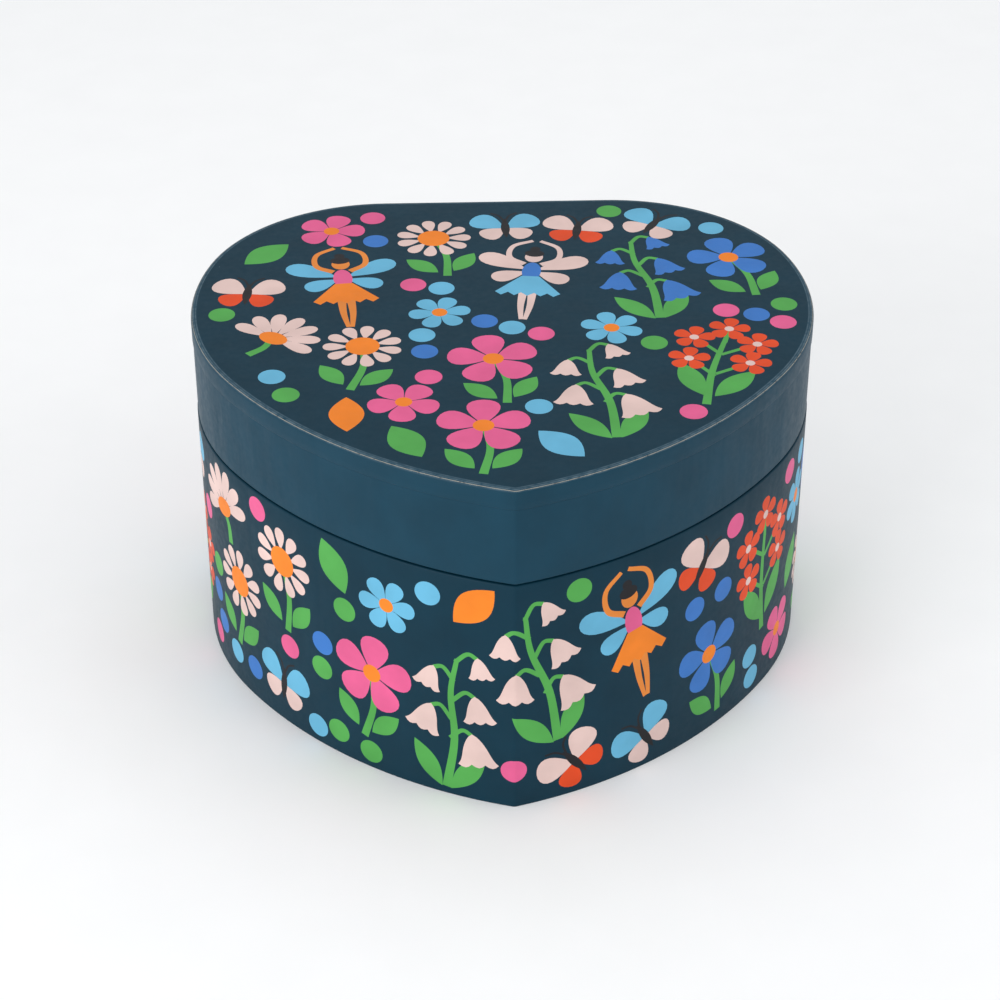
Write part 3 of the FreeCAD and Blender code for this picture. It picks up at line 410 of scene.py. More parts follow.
def heart(ways, inset=0.0):
    """Points and outward directions of the outline moved in by inset, at ways along it.

    Each arc is run through in proportion to the same arc of the outer outline.
    """
    way = (np.asarray(ways, float) + HALF_ROUND) % (2 * HALF_ROUND) - HALF_ROUND
    side = np.where(way < 0, -1.0, 1.0)
    part = np.clip(np.searchsorted(ARC_WAYS, np.abs(way), side="right") - 1, 0, 4)
    share = (np.abs(way) - ARC_WAYS[part]) / np.diff(ARC_WAYS)[part]
    arcs = heart_arcs(inset)
    centre = np.array([arc[0] for arc in arcs] + [(0, DEEP / 2 - inset)])
    radius = np.array([arc[1] for arc in arcs] + [0.0])
    start = np.array([arc[2] for arc in arcs] + [math.pi / 2])
    end = np.array([arc[3] for arc in arcs] + [math.pi / 2])
    angle = start[part] + share * (end - start)[part]
    out = np.stack([np.cos(angle), np.sin(angle)], -1)
    points = centre[part] + out * radius[part][..., None]
    points[..., 0] += np.where(part == 4, flat * (1 - share), 0.0)
    points[..., 0] *= side
    out[..., 0] *= side
    return points, out


def column_ways():
    """Ways of the upright lines of the mesh: evenly along each arc, close together at the fold."""
    counts = (2, 30, 22, 21, 9)
    right = np.concatenate(
        [np.linspace(ARC_WAYS[n], ARC_WAYS[n + 1], count, endpoint=False) for n, count in enumerate(counts)]
    )
    return np.concatenate([-right[:0:-1], right, [HALF_ROUND]])


COLUMNS = column_ways()


def grid_faces(rows, columns, closed=True, flipped=False):
    """Four-cornered faces over rows of points; a closed row also joins its last point to its first."""
    index = np.arange(rows * columns).reshape(rows, columns)
    beside = np.roll(index, -1, 1)
    if not closed:
        index, beside = index[:, :-1], beside[:, :-1]
    quads = np.stack([index[:-1], beside[:-1], beside[1:], index[1:]], -1).reshape(-1, 4)
    return quads[:, [0, 3, 2, 1]] if flipped else quads


def profile_sheet(profile):
    """A closed strip of paper: a profile of inset and height carried round the outline."""
    rings = []
    for inset, height in profile:
        points, _ = heart(COLUMNS, inset)
        rings.append(np.concatenate([points, np.full((len(points), 1), height)], 1))
    grid = np.array(rings)
    return grid.reshape(-1, 3), grid_faces(*grid.shape[:2])


def cut_sheet(border, lines, drawing):
    """Triangles of a printed sheet: its border, its bending lines and every outline cut into one
    another.  A triangle takes the ink of the last outline printed over it."""
    points, edges, faces, inks = [], [], [], []
    for outline, ink in [(border, "ground")] + drawing:
        x, y = outline[:, 0], outline[:, 1]
        if (x * np.roll(y, -1) - y * np.roll(x, -1)).sum() < 0:
            outline = outline[::-1]
        faces.append(list(range(len(points), len(points) + len(outline))))
        inks.append(ink)
        points += outline.tolist()
    for start, end in lines:
        edges.append((len(points), len(points) + 1))
        points += [start, end]
    made = geometry.delaunay_2d_cdt([Vector(p) for p in points], edges, faces, 0, 1e-5, True)
    verts, _, triangles, _, _, owners = made
    kept = [(t, inks[max(o)]) for t, o in zip(triangles, owners) if o]
    shown = [(t, ink) for t, ink in kept if ink != "hole"]
    return (np.array([tuple(v) for v in verts]), np.array([t for t, _ in shown]),
            [ink for _, ink in shown])


def within(room, points):
    """Whether every point lies inside a closed outline: an odd number of edges to its right."""
    start, end = room, np.roll(room, -1, 0)
    x, y = points[:, :1], points[:, 1:]
    spans = (start[:, 1] > y) != (end[:, 1] > y)
    rise = np.where(end[:, 1] == start[:, 1], 1.0, end[:, 1] - start[:, 1])
    cross = start[:, 0] + (y - start[:, 1]) * (end[:, 0] - start[:, 0]) / rise
    return bool(((spans & (x < cross)).sum(1) % 2).all())


# the lean of the medium and the small motifs in degrees; the gaps in millimetres between the discs
# that stand for motifs, below zero where they may lap because few large motifs fill their discs
MEDIUM_LEAN, SMALL_LEAN = 40, 180
GAPS = (-1.5, -0.5, 0.5)
TRIES = 400


def toss(room, counts, large_lean, seed):
    """Motifs tossed over a sheet, the large first: each falls at a seeded random place and turn,
    and stays where it is wholly on the sheet and clear of the ones before it.

    A motif's own space is a row of equal discs along the middle of its bounding box.
    """
    chance = np.random.RandomState(seed)
    low, high = room.min(0), room.max(0)
    drawing, taken = [], np.zeros((0, 3))
    leans = (large_lean, MEDIUM_LEAN, SMALL_LEAN)
    for motifs, count, lean, gap in zip((LARGE, MEDIUM, SMALL), counts, leans, GAPS):
        for n in range(count):
            motif = motifs[n % len(motifs)]
            points = np.concatenate([outline for outline, _ in motif])
            size = (points.max(0) - points.min(0)) / 2
            radius = size.min()
            row = np.linspace(-1, 1, 2 + int((size.max() - radius) / radius))[:, None]
            discs = (points.max(0) + points.min(0)) / 2 + row * (size - radius)
            for _ in range(TRIES):
                x, y = chance.uniform(low, high)
                turn = chance.uniform(-lean, lean)
                fallen = moved([(discs, "")], x, y, turn)[0][0]
                apart = np.linalg.norm(fallen[:, None] - taken[:, :2], axis=2) - taken[:, 2] - radius
                if (apart < gap).any():
                    continue
                placed = moved(motif, x, y, turn)
                if within(room, np.concatenate([outline for outline, _ in placed])):
                    drawing += placed
                    taken = np.concatenate([taken, np.insert(fallen, 2, radius, 1)])
                    break
    return drawing


def new_piece(name, points, faces):
    """A smooth-shaded piece from points in millimetres and their faces."""
    mesh = bpy.data.meshes.new(name)
    mesh.from_pydata((points * MM).tolist(), [], faces)
    mesh.shade_smooth()
    piece = bpy.data.objects.new(name, mesh)
    bpy.context.scene.collection.objects.link(piece)
    return piece


def thicken(piece, thickness, offset=-1.0):
    """Give a sheet its thickness in millimetres, inwards unless offset says otherwise."""
    wall = piece.modifiers.new("thickness", "SOLIDIFY")
    wall.thickness = thickness * MM
    wall.offset = offset


def paper_piece(name, parts, normals=None):
    """One mesh from parts of (points, faces, inks), in millimetres, welded where they meet."""
    points = np.concatenate([part[0] for part in parts])
    corners, tone = [], []
    base = 0
    for part_points, faces, inks in parts:
        corners += (np.asarray(faces) + base).tolist()
        tone += inks
        base += len(part_points)
    key = np.round(points / 2e-4).astype(np.int64)
    _, first, back = np.unique(key, axis=0, return_index=True, return_inverse=True)
    back = back.ravel()
    faces, kept = [], []
    for corner, ink in zip(corners, tone):
        ring = [int(back[c]) for c in corner]
        ring = [c for n, c in enumerate(ring) if c != ring[n - 1]]
        if len(set(ring)) >= 3:
            faces.append(ring)
            kept.append(ink)
    used = np.unique(np.concatenate([np.array(f) for f in faces]))
    renumber = np.full(len(first), -1)
    renumber[used] = np.arange(len(used))
    piece = new_piece(name, points[first][used], [[int(renumber[c]) for c in f] for f in faces])
    mesh = piece.data
    colour = np.array([hex_colour(INKS[ink]) for ink in kept])
    ink_layer = mesh.color_attributes.new("ink", "FLOAT_COLOR", "CORNER")
    counts = np.array([len(f) for f in faces])
    ink_layer.data.foreach_set("color", np.repeat(colour, counts, 0).ravel())
    if normals is not None:
        set_normals(mesh, normals)
    return piece


def set_normals(mesh, normals):
    """Exact directions where a formula gives them, and the mesh's own elsewhere."""
    place = np.zeros(len(mesh.vertices) * 3)
    mesh.vertices.foreach_get("co", place)
    own = np.zeros(len(mesh.vertices) * 3, np.float32)
    mesh.vertex_normals.foreach_get("vector", own)
    made = normals(place.reshape(-1, 3) / MM, own.reshape(-1, 3).astype(float))
    mesh.normals_split_custom_set_from_vertices(made.tolist())


def paper_material(name, wrinkle):
    """Coated art paper with a satin varnish: its colour is the print, and the varnish shows a
    fine orange peel, a long shallow cockle, dust and pale rubbed specks.  Along the edges that a
    piece marks, a pale line is painted in as a highlight, partly rubbed wear."""
    material, tree, out, place = new_material(name)
    ink = add(tree, "VertexColor", layer_name="ink").outputs["Color"]
    # the ink lies unevenly by a few percent over patches of about 12 mm
    patch = add(tree, "TexNoise", {"Vector": place, "Scale": 85.0, "Detail": 3.0})
    uneven = add(tree, "MapRange", {0: patch.outputs[0], 1: 0.3, 2: 0.7, 3: 0.90, 4: 1.08})
    inked = add(tree, "VectorMath", {0: ink, 3: uneven.outputs[0]}, operation="SCALE")
    # dust and rubbed specks, about 0.4 mm, on one part in a thousand
    speck = add(tree, "TexVoronoi", {"Vector": place, "Scale": 190.0, "Randomness": 1.0})
    seen = add(tree, "MapRange", {0: speck.outputs["Distance"], 1: 0.035, 2: 0.02})
    pick = add(tree, "MapRange", {0: add(tree, "SeparateColor", {0: speck.outputs["Color"]}).outputs[0],
                                  1: 0.90, 2: 0.93})
    dust = add(tree, "Math", {0: seen.outputs[0], 1: pick.outputs[0]}, operation="MULTIPLY")
    dusty = add(tree, "Math", {0: dust.outputs[0], 1: 0.35}, operation="MULTIPLY")
    # a pale line along a piece's marked edges: a painted highlight, partly rubbed wear, broken up by worn
    # patches
    highlight_and_rub = add(tree, "Attribute", attribute_name="highlight_and_rub").outputs["Fac"]
    worn = add(tree, "TexNoise", {"Vector": place, "Scale": 600.0, "Detail": 3.0})
    fray = add(tree, "MapRange", {0: worn.outputs[0], 1: 0.25, 2: 0.62})
    frayed_highlight_and_rub = add(tree, "Math", {0: highlight_and_rub, 1: fray.outputs[0]}, operation="MULTIPLY")
    # the paper turns pale where there is dust and where the edge highlight is painted
    dust_and_highlight = add(tree, "Math", {0: dusty.outputs[0], 1: frayed_highlight_and_rub.outputs[0]}, operation="MAXIMUM")
    tone = add(tree, "Mix", {0: dust_and_highlight.outputs[0], 6: inked.outputs[0], 7: hex_colour("#9fb0b8")},
               data_type="RGBA")
    # orange peel about 0.8 mm across, and a cockle stretched upright about 9 mm wide
    peel = add(tree, "TexNoise", {"Vector": place, "Scale": 1200.0, "Detail": 2.0})
    squeeze = add(tree, "Mapping", {"Vector": place, "Scale": (110.0, 110.0, 26.0)})
    cockle = add(tree, "TexNoise", {"Vector": squeeze.outputs[0], "Scale": 1.0, "Detail": 2.5})
    fine = add(tree, "Bump", {"Strength": 0.25, "Distance": 0.02 * MM, "Height": peel.outputs[0]})
    relief = add(tree, "Bump", {"Strength": wrinkle, "Distance": 0.9 * MM, "Height": cockle.outputs[0],
                                "Normal": fine.outputs[0]})
    gloss = add(tree, "MapRange", {0: worn.outputs[0], 1: 0.3, 2: 0.7, 3: 0.40, 4: 0.50})
    skin = add(tree, "BsdfPrincipled", {
        "Base Color": tone.outputs[2], "Roughness": gloss.outputs[0], "IOR": 1.5,
        "Specular IOR Level": 0.13, "Normal": relief.outputs[0],
    })
    tree.links.new(skin.outputs[0], out.inputs["Surface"])
    return material


# ================================================================ printed wrap of the lower wall
# One long strip of printed paper wound round the wall, its top edge turned over the board and
# glued; its two ends meet 20 mm to one side of the middle of the back.
PAPER = 0.25
BOARD_IN = 3.25
SEAM_LOW = 67.825
END_WAY = 20.0
WALL_TOP = 67.45
WALL_FOOT = 0.3
ARBOR_HEIGHT = 22.0
KEY_HOLE = 4.5
# the print keeps in from the paper's ends and edges; the counts are of the large, the medium and
# the small motifs, and the lean in degrees is that of the large ones
PRINT_MARGIN, PRINT_LOW, PRINT_HIGH = 1.0, 1.5, 66.3
WALL_COUNTS = (34, 24, 90)
WALL_LEAN = 14
WALL_SEED = 5

wall_ways = (-HALF_ROUND + END_WAY, HALF_ROUND + END_WAY)
print_start, print_end = wall_ways[0] + PRINT_MARGIN, wall_ways[1] - PRINT_MARGIN
wall_room = np.array([
    (print_start, PRINT_LOW), (print_end, PRINT_LOW), (print_end, PRINT_HIGH), (print_start, PRINT_HIGH),
])
wall_drawing = toss(wall_room, WALL_COUNTS, WALL_LEAN, WALL_SEED)
wall_lines = np.sort(np.concatenate([COLUMNS, COLUMNS[COLUMNS < wall_ways[0]] + 2 * HALF_ROUND]))
wall_lines = wall_lines[(wall_lines > wall_ways[0] + 0.01) & (wall_lines < wall_ways[1] - 0.01)]
wall_stops = np.concatenate([[wall_ways[0]], wall_lines, [wall_ways[1]]])
wall_border = np.concatenate([
    np.stack([wall_stops, np.full(len(wall_stops), WALL_FOOT)], 1),
    np.stack([wall_stops, np.full(len(wall_stops), WALL_TOP)], 1)[::-1],
])
hole = disc(HALF_ROUND, ARBOR_HEIGHT, 2 * KEY_HOLE)
wall_flat, wall_faces, wall_inks = cut_sheet(
    wall_border,
    [((way, WALL_FOOT), (way, WALL_TOP)) for way in wall_lines.tolist()],
    wall_drawing + [(hole, "hole")],
)
COLUMNS = np.sort(np.append(COLUMNS, wall_ways[0]))
wall_points = np.concatenate([heart(wall_flat[:, 0])[0], wall_flat[:, 1:]], 1)
turned_foot = [(PAPER, 0.0), (0.1, 0.0), (0.02, 0.08), (0.0, WALL_FOOT)]
turned_edge = [
    (0.0, WALL_TOP), (0.06, 67.64), (0.2, 67.77), (0.4, SEAM_LOW), (2.9, SEAM_LOW), (3.17, 67.75),
    (BOARD_IN, 67.5), (BOARD_IN, 64.0),
]


def plain(points, faces, ink="ground"):
    """A part of a sheet in one ink, without a drawing."""
    return points, faces, [ink] * len(faces)


OUTLINE_SAMPLES = 4001


def wall_normals(points, own):
    """Straight out from the outline on the upright face of the wall."""
    ways = np.linspace(-HALF_ROUND, HALF_ROUND, OUTLINE_SAMPLES)
    line, out = heart(ways)
    upright = (points[:, 2] > WALL_FOOT + 0.1) & (points[:, 2] < WALL_TOP - 0.1)
    turn = np.arctan2(points[:, 1], points[:, 0])
    line_turn = np.arctan2(line[:, 1], line[:, 0])
    order = np.argsort(line_turn)
    made = own.copy()
    for axis in (0, 1):
        exact = np.interp(turn, line_turn[order], out[order, axis], period=2 * math.pi)
        made[:, axis] = np.where(upright, exact, own[:, axis])
    made[:, 2] = np.where(upright, 0.0, own[:, 2])
    return made / np.linalg.norm(made, axis=1)[:, None]


printed_paper = paper_material("satin_printed_paper", 0.18)
printed_wrap = paper_piece(
    "printed_wrap",
    [
        (wall_points, wall_faces, wall_inks),
        plain(*profile_sheet(turned_foot)),
        plain(*profile_sheet(turned_edge)),
    ],
    wall_normals,
)
printed_wrap.data.materials.append(printed_paper)
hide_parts("case_wrap")
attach(printed_wrap, "case")


# ================================================================ movement: plates, wheels and screws
# A small going-barrel movement screwed to the base: die-cast zinc bedplate and posts, stamped brass
# wheels, ground steel arbors and comb, a plated steel spring barrel and a nylon air brake.
def metal_material(name, low, high, rough, grain, stretch, relief_mm):
    """A bare metal whose tone and gloss vary along grain lines: noise of a given width in
    millimetres, drawn out along the axes where stretch is small."""
    material, tree, out, place = new_material(name)
    drawn = add(tree, "Mapping", {"Vector": place, "Scale": stretch})
    lines = add(tree, "TexNoise", {"Vector": drawn.outputs[0], "Scale": 1 / (grain * MM), "Detail": 4.0})
    cloud = add(tree, "TexNoise", {"Vector": place, "Scale": 220.0, "Detail": 2.0})
    mixed = add(tree, "Math", {0: lines.outputs[0], 1: cloud.outputs[0]}, operation="MULTIPLY")
    share = add(tree, "MapRange", {0: mixed.outputs[0], 1: 0.12, 2: 0.40})
    tone = add(tree, "Mix", {0: share.outputs[0], 6: hex_colour(low), 7: hex_colour(high)},
               data_type="RGBA")
    gloss = add(tree, "MapRange", {0: lines.outputs[0], 1: 0.3, 2: 0.7, 3: rough, 4: rough + 0.15})
    relief = add(tree, "Bump", {"Strength": 0.4, "Distance": relief_mm * MM, "Height": lines.outputs[0]})
    skin = add(tree, "BsdfPrincipled", {
        "Base Color": tone.outputs[2], "Metallic": 1.0, "Roughness": gloss.outputs[0],
        "Normal": relief.outputs[0],
    })
    tree.links.new(skin.outputs[0], out.inputs["Surface"])
    return material


# die-cast zinc: a dull sand-like skin, grain about 0.5 mm
zinc = metal_material("die_cast_zinc", "#85868a", "#b4b5b8", 0.42, 0.5, (1, 1, 1), 0.04)
dress(zinc, "bedplate", "bearing_posts", "rear_bracket", "comb_base")
# rolled and turned brass: fine turning lines about 0.2 mm wide round the shafts
brass = metal_material("turned_brass", "#a98238", "#e3c274", 0.22, 0.2, (1, 0.06, 1), 0.012)
dress(brass, "key_escutcheon", "great_wheel", "cylinder_wheel", "worm_wheel", "cylinder_drum",
      "ratchet_wheel")
# brass plate gilded and tumbled: nearly smooth, with wear clouds
gilt = metal_material("gilt_plate", "#b98f3e", "#ecd08a", 0.20, 0.9, (1, 1, 1), 0.01)
dress(gilt, "winding_key")
# ground steel: straight grinding lines about 0.15 mm wide
ground_steel = metal_material("ground_steel", "#8c8f93", "#cfd1d3", 0.25, 0.15, (0.05, 1, 1), 0.01)
dress(ground_steel, "movement_screws", "comb_screws", "comb", "winding_arbor", "cylinder_arbor",
      "governor_pinion", "worm_shaft", "figure_spindle", "stop_plunger", "click", "cylinder_pins",
      "stop_wire", "governor_frame")
# blued spring steel: dark blue-grey with rolling lines
spring_steel = metal_material("blued_spring_steel", "#33394a", "#5d6472", 0.28, 0.3, (1, 0.1, 1), 0.01)
dress(spring_steel, "mainspring", "click_spring")
# tin-plated pressed steel
barrel_steel = metal_material("tinned_steel", "#8f9192", "#c4c6c7", 0.30, 0.6, (1, 0.3, 1), 0.01)
dress(barrel_steel, "spring_barrel", "barrel_cover")


def moulded_material(name, low, high, rough, coat=0.0):
    """An injection-moulded plastic: faint flow clouds about 6 mm across and a fine moulded grain
    about 0.4 mm across."""
    material, tree, out, place = new_material(name)
    flow = add(tree, "TexNoise", {"Vector": place, "Scale": 160.0, "Detail": 2.0})
    grain = add(tree, "TexNoise", {"Vector": place, "Scale": 2500.0, "Detail": 2.0})
    tone = add(tree, "Mix", {0: flow.outputs[0], 6: hex_colour(low), 7: hex_colour(high)},
               data_type="RGBA")
    gloss = add(tree, "MapRange", {0: grain.outputs[0], 1: 0.3, 2: 0.7, 3: rough, 4: rough + 0.12})
    relief = add(tree, "Bump", {"Strength": 0.3, "Distance": 0.01 * MM, "Height": grain.outputs[0]})
    skin = add(tree, "BsdfPrincipled", {
        "Base Color": tone.outputs[2], "Roughness": gloss.outputs[0], "IOR": 1.53,
        "Normal": relief.outputs[0], "Coat Weight": coat,
    })
    tree.links.new(skin.outputs[0], out.inputs["Surface"])
    return material


nylon = moulded_material("moulded_nylon", "#dcd9cc", "#efece2", 0.42)
dress(nylon, "fly_fan", "crown_wheel", "stop_guide")


# ================================================================ tray lining and dividers
# The tray over the movement is lined with flocked velour; thin boards covered with the same velour
# divide it.  The neck collar that the lid slips over is covered with plain pale paper.
def pile_material(name, low, high):
    """Flock or velvet: a short pile whose tufts are about 0.3 mm apart, brushed into patches
    about 15 mm across, with a soft sheen at its tips."""
    material, tree, out, place = new_material(name)
    tuft = add(tree, "TexNoise", {"Vector": place, "Scale": 3300.0, "Detail": 2.0})
    brushed = add(tree, "TexNoise", {"Vector": place, "Scale": 66.0, "Detail": 2.5})
    mixed = add(tree, "Math", {0: tuft.outputs[0], 1: brushed.outputs[0]}, operation="ADD")
    share = add(tree, "MapRange", {0: mixed.outputs[0], 1: 0.75, 2: 1.25})
    tone = add(tree, "Mix", {0: share.outputs[0], 6: hex_colour(low), 7: hex_colour(high)},
               data_type="RGBA")
    relief = add(tree, "Bump", {"Strength": 0.6, "Distance": 0.12 * MM, "Height": tuft.outputs[0]})
    skin = add(tree, "BsdfPrincipled", {
        "Base Color": tone.outputs[2], "Roughness": 0.95, "Normal": relief.outputs[0],
        "Sheen Weight": 0.5, "Sheen Roughness": 0.35, "Sheen Tint": hex_colour("#f3c7d2"),
    })
    tree.links.new(skin.outputs[0], out.inputs["Surface"])
    return material


velour = pile_material("flocked_velour", "#9c4f63", "#c4788a")
dress(velour, "tray_lining", "stage_block", "cross_divider", "centre_divider", "stage_side_walls")

lining_paper, tree, out, place = new_material("laid_lining_paper")
# uncoated tinted paper with laid lines about 1 mm apart and soft fibres
laid = add(tree, "TexWave", {"Vector": place, "Scale": 1000.0 / math.pi, "Distortion": 1.5,
                             "Detail": 1.0}, bands_direction="DIAGONAL")
fibre = add(tree, "TexNoise", {"Vector": place, "Scale": 1500.0, "Detail": 4.0})
mixed = add(tree, "Math", {0: laid.outputs["Fac"], 1: fibre.outputs[0]}, operation="MULTIPLY")
tone = add(tree, "Mix", {0: mixed.outputs[0], 6: hex_colour("#dba7b0"), 7: hex_colour("#ecc3c9")},
           data_type="RGBA")
relief = add(tree, "Bump", {"Strength": 0.25, "Distance": 0.03 * MM, "Height": mixed.outputs[0]})
skin = add(tree, "BsdfPrincipled", {
    "Base Color": tone.outputs[2], "Roughness": 0.8, "Normal": relief.outputs[0],
})
tree.links.new(skin.outputs[0], out.inputs["Surface"])
dress(lining_paper, "neck_collar", "lid_lining", "mirror_frame")


# ================================================================ ring cushion
# Four rolls of velvet over foam, tucked side by side into the left front compartment; rings are
# pushed down between them.
ROLL_WIDE, ROLL_TALL, ROLL_GAP, ROLLS = 10.0, 14.0, 1.0, 4
TRAY_FLOOR = 46.4
COLLAR_INNER = 4.8
ROLLS_BACK = 7.0
ROLLS_RIGHT = -2.0
PLUNGER_SIDE = -62.4


def half_width(y, inset):
    """Half the width of the outline, moved in by inset, at a place from front to back."""
    points, _ = heart(np.linspace(0, ARC_WAYS[3], 400), inset)
    return float(np.interp(y, points[:, 1], points[:, 0]))


def cushion_roll(left, right, back):
    """A stuffed roll: a squared oval section, drawn in to a point at both ends, with small
    gathers there and a light sag between them."""
    u = np.linspace(0, 1, 49)[:, None]
    v = np.linspace(0, 2 * math.pi, 32, endpoint=False)[None, :]
    length = right - left
    near = np.minimum(u, 1 - u) * length / 3.2
    round_off = np.sqrt(np.clip(1 - (1 - np.clip(near, 0, 1)) ** 2, 0, 1))
    gather = 1 + 0.05 * np.sin(9 * v + 4 * u) * np.exp(-near)
    slack = 1 - 0.02 * np.sin(7 * math.pi * u) ** 2 - 0.015 * np.sin(3 * v + 11 * u)
    power = 0.62
    side = np.sign(np.cos(v)) * np.abs(np.cos(v)) ** power
    rise = np.sign(np.sin(v)) * np.abs(np.sin(v)) ** power
    scale = round_off * gather * slack / 1.05
    x = left + length * u + 0 * v
    y = back - ROLL_WIDE / 2 + side * scale * (ROLL_WIDE / 2 - 0.1)
    z = TRAY_FLOOR + ROLL_TALL / 2 + rise * scale * (ROLL_TALL / 2 - 0.1)
    grid = np.stack([x, y, z], -1)
    # each face starts one corner on, which sets the diagonal that it is split along
    return grid.reshape(-1, 3), np.roll(grid_faces(*grid.shape[:2]), -1, 1)


rolls = []
for n in range(ROLLS):
    back = ROLLS_BACK - n * (ROLL_WIDE + ROLL_GAP)
    left = 0.6 - half_width(back - ROLL_WIDE, COLLAR_INNER + ROLL_GAP)
    if n == 1:
        left = max(left, PLUNGER_SIDE)
    rolls.append(plain(*cushion_roll(left, ROLLS_RIGHT - 0.2, back)))
ring_cushion = paper_piece("ring_cushion", rolls)
cushion_velvet = pile_material("cushion_velvet", "#a8566a", "#cf8596")
ring_cushion.data.materials.append(cushion_velvet)
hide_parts("ring_cushion_rolls")
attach(ring_cushion, "case")


# ================================================================ plain paper of the lid's rim
# A strip of the same satin paper without print, wrapped round the lid's rim, turned in under its
# lower edge and up its inside; glueing it round the curve leaves it slightly cockled.
SEAM_HIGH = 68.175
RIM_IN = 0.18
RIM_INNER = 2.62
rim_profile = [
    (RIM_INNER, 91.9), (RIM_INNER, 68.5), (2.5, 68.25), (2.2, SEAM_HIGH), (0.6, SEAM_HIGH), (0.35, 68.24),
    (RIM_IN + 0.03, 68.4), (RIM_IN, 68.7), (RIM_IN, 72.0), (RIM_IN, 76.0), (RIM_IN, 80.0), (RIM_IN, 84.0),
    (RIM_IN, 87.0), (RIM_IN, 89.0), (RIM_IN, 90.5),
]
lid_rim_paper = paper_piece("lid_rim_paper", [plain(*profile_sheet(rim_profile), "rim")])
rim_paper = paper_material("satin_rim_paper", 0.55)
lid_rim_paper.data.materials.append(rim_paper)
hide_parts("lid_rim_wrap")
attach(lid_rim_paper, "lid")


# ================================================================ printed sheet on the lid
# The lid's top is covered with a printed heart whose border is turned down over the edge and glued
# to the rim for 5.5 mm.  Board and paper round off at the ridge.  A pale line is painted along the
# ridge and along a crease just inside it: a painted highlight, partly rubbed wear.
TOP = 95.0
FLAP = 5.5
FIELD_IN = 1.5
PRINT_IN = 4.0
TOP_COUNTS = (14, 12, 50)
TOP_LEAN = 18
TOP_SEED = 3
# strength of the pale line painted along the ridge and the crease (painted highlight, partly rubbed wear),
# and its reach in mm
RIDGE_HIGHLIGHT_AND_RUB, RIDGE_HIGHLIGHT_REACH, CREASE_HIGHLIGHT_AND_RUB = 0.22, 0.3, 0.25
top_drawing = toss(heart(COLUMNS, PRINT_IN)[0], TOP_COUNTS, TOP_LEAN, TOP_SEED)
ring, _ = heart(COLUMNS, FIELD_IN)
field_flat, field_faces, field_inks = cut_sheet(ring, [], top_drawing)
field_points = np.concatenate([field_flat, np.full((len(field_flat), 1), TOP)], 1)
# the flap, the ridge as a quarter round of 1 mm, a faint crease, and the edge of the field
ridge = [(1 - math.cos(a), TOP - 1 + math.sin(a)) for a in np.linspace(0, math.pi / 2, 6)]
flap_profile = [(RIM_IN + 0.05, TOP - FLAP + 0.02), (0.05, TOP - FLAP), (0.0, TOP - FLAP + 0.15),
                (0.0, TOP - 3.5), (0.0, TOP - 2.0)] + ridge[:-1] + [
    (1.0, TOP - 0.01), (1.25, TOP - 0.05), (FIELD_IN, TOP)
]


def top_normals(points, own):
    """Straight up over the printed field."""
    made = own.copy()
    made[points[:, 2] > TOP - 0.001] = (0, 0, 1)
    return made


printed_top = paper_piece(
    "printed_top",
    [(field_points, field_faces, field_inks), plain(*profile_sheet(flap_profile), "rim")],
    top_normals,
)
height = np.zeros(len(printed_top.data.vertices) * 3)
printed_top.data.vertices.foreach_get("co", height)
height = height.reshape(-1, 3)[:, 2] / MM
# painted highlight, partly rubbed wear: a pale line near the top of the ridge and along the crease, kept on
# the points for the paper
highlight_and_rub = np.clip(1 - np.abs(height - (TOP - 0.35)) / RIDGE_HIGHLIGHT_REACH, 0, 1) * RIDGE_HIGHLIGHT_AND_RUB
highlight_and_rub = np.maximum(highlight_and_rub, np.where(np.abs(height - (TOP - 0.05)) < 0.01, CREASE_HIGHLIGHT_AND_RUB, 0.0))
highlight_and_rub_layer = printed_top.data.attributes.new("highlight_and_rub", "FLOAT", "POINT")
highlight_and_rub_layer.data.foreach_set("value", highlight_and_rub.astype(np.float32))
printed_top.data.materials.append(printed_paper)
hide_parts("lid_top_sheet")
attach(printed_top, "lid")


# ================================================================ cloth hinge
# One strip of book cloth glued across the seam on the straight back, half on the case and half on
# the lid; it is the only hinge and bends along the seam.
HINGE_HALF = 30.2
HINGE_REACH = 10.8
CLOTH = 0.24
SEAM = 68.0


def cloth_strip(name):
    """A flat strip with a shallow groove along the seam, closed round its edges."""
    u = np.linspace(-HINGE_HALF, HINGE_HALF, 60)
    v = np.concatenate([np.linspace(-HINGE_REACH, -1.5, 8), np.linspace(-1.2, 1.2, 9),
                        np.linspace(1.5, HINGE_REACH, 8)])
    x, z = np.meshgrid(u, v)
    groove = 0.12 * np.exp(-(z / 0.5) ** 2)
    front = np.stack([x, DEEP / 2 + CLOTH - groove, z + SEAM], -1)
    quads = grid_faces(*x.shape, closed=False, flipped=True)
    piece = new_piece(name, front.reshape(-1, 3), quads.tolist())
    thicken(piece, 0.2)
    return piece


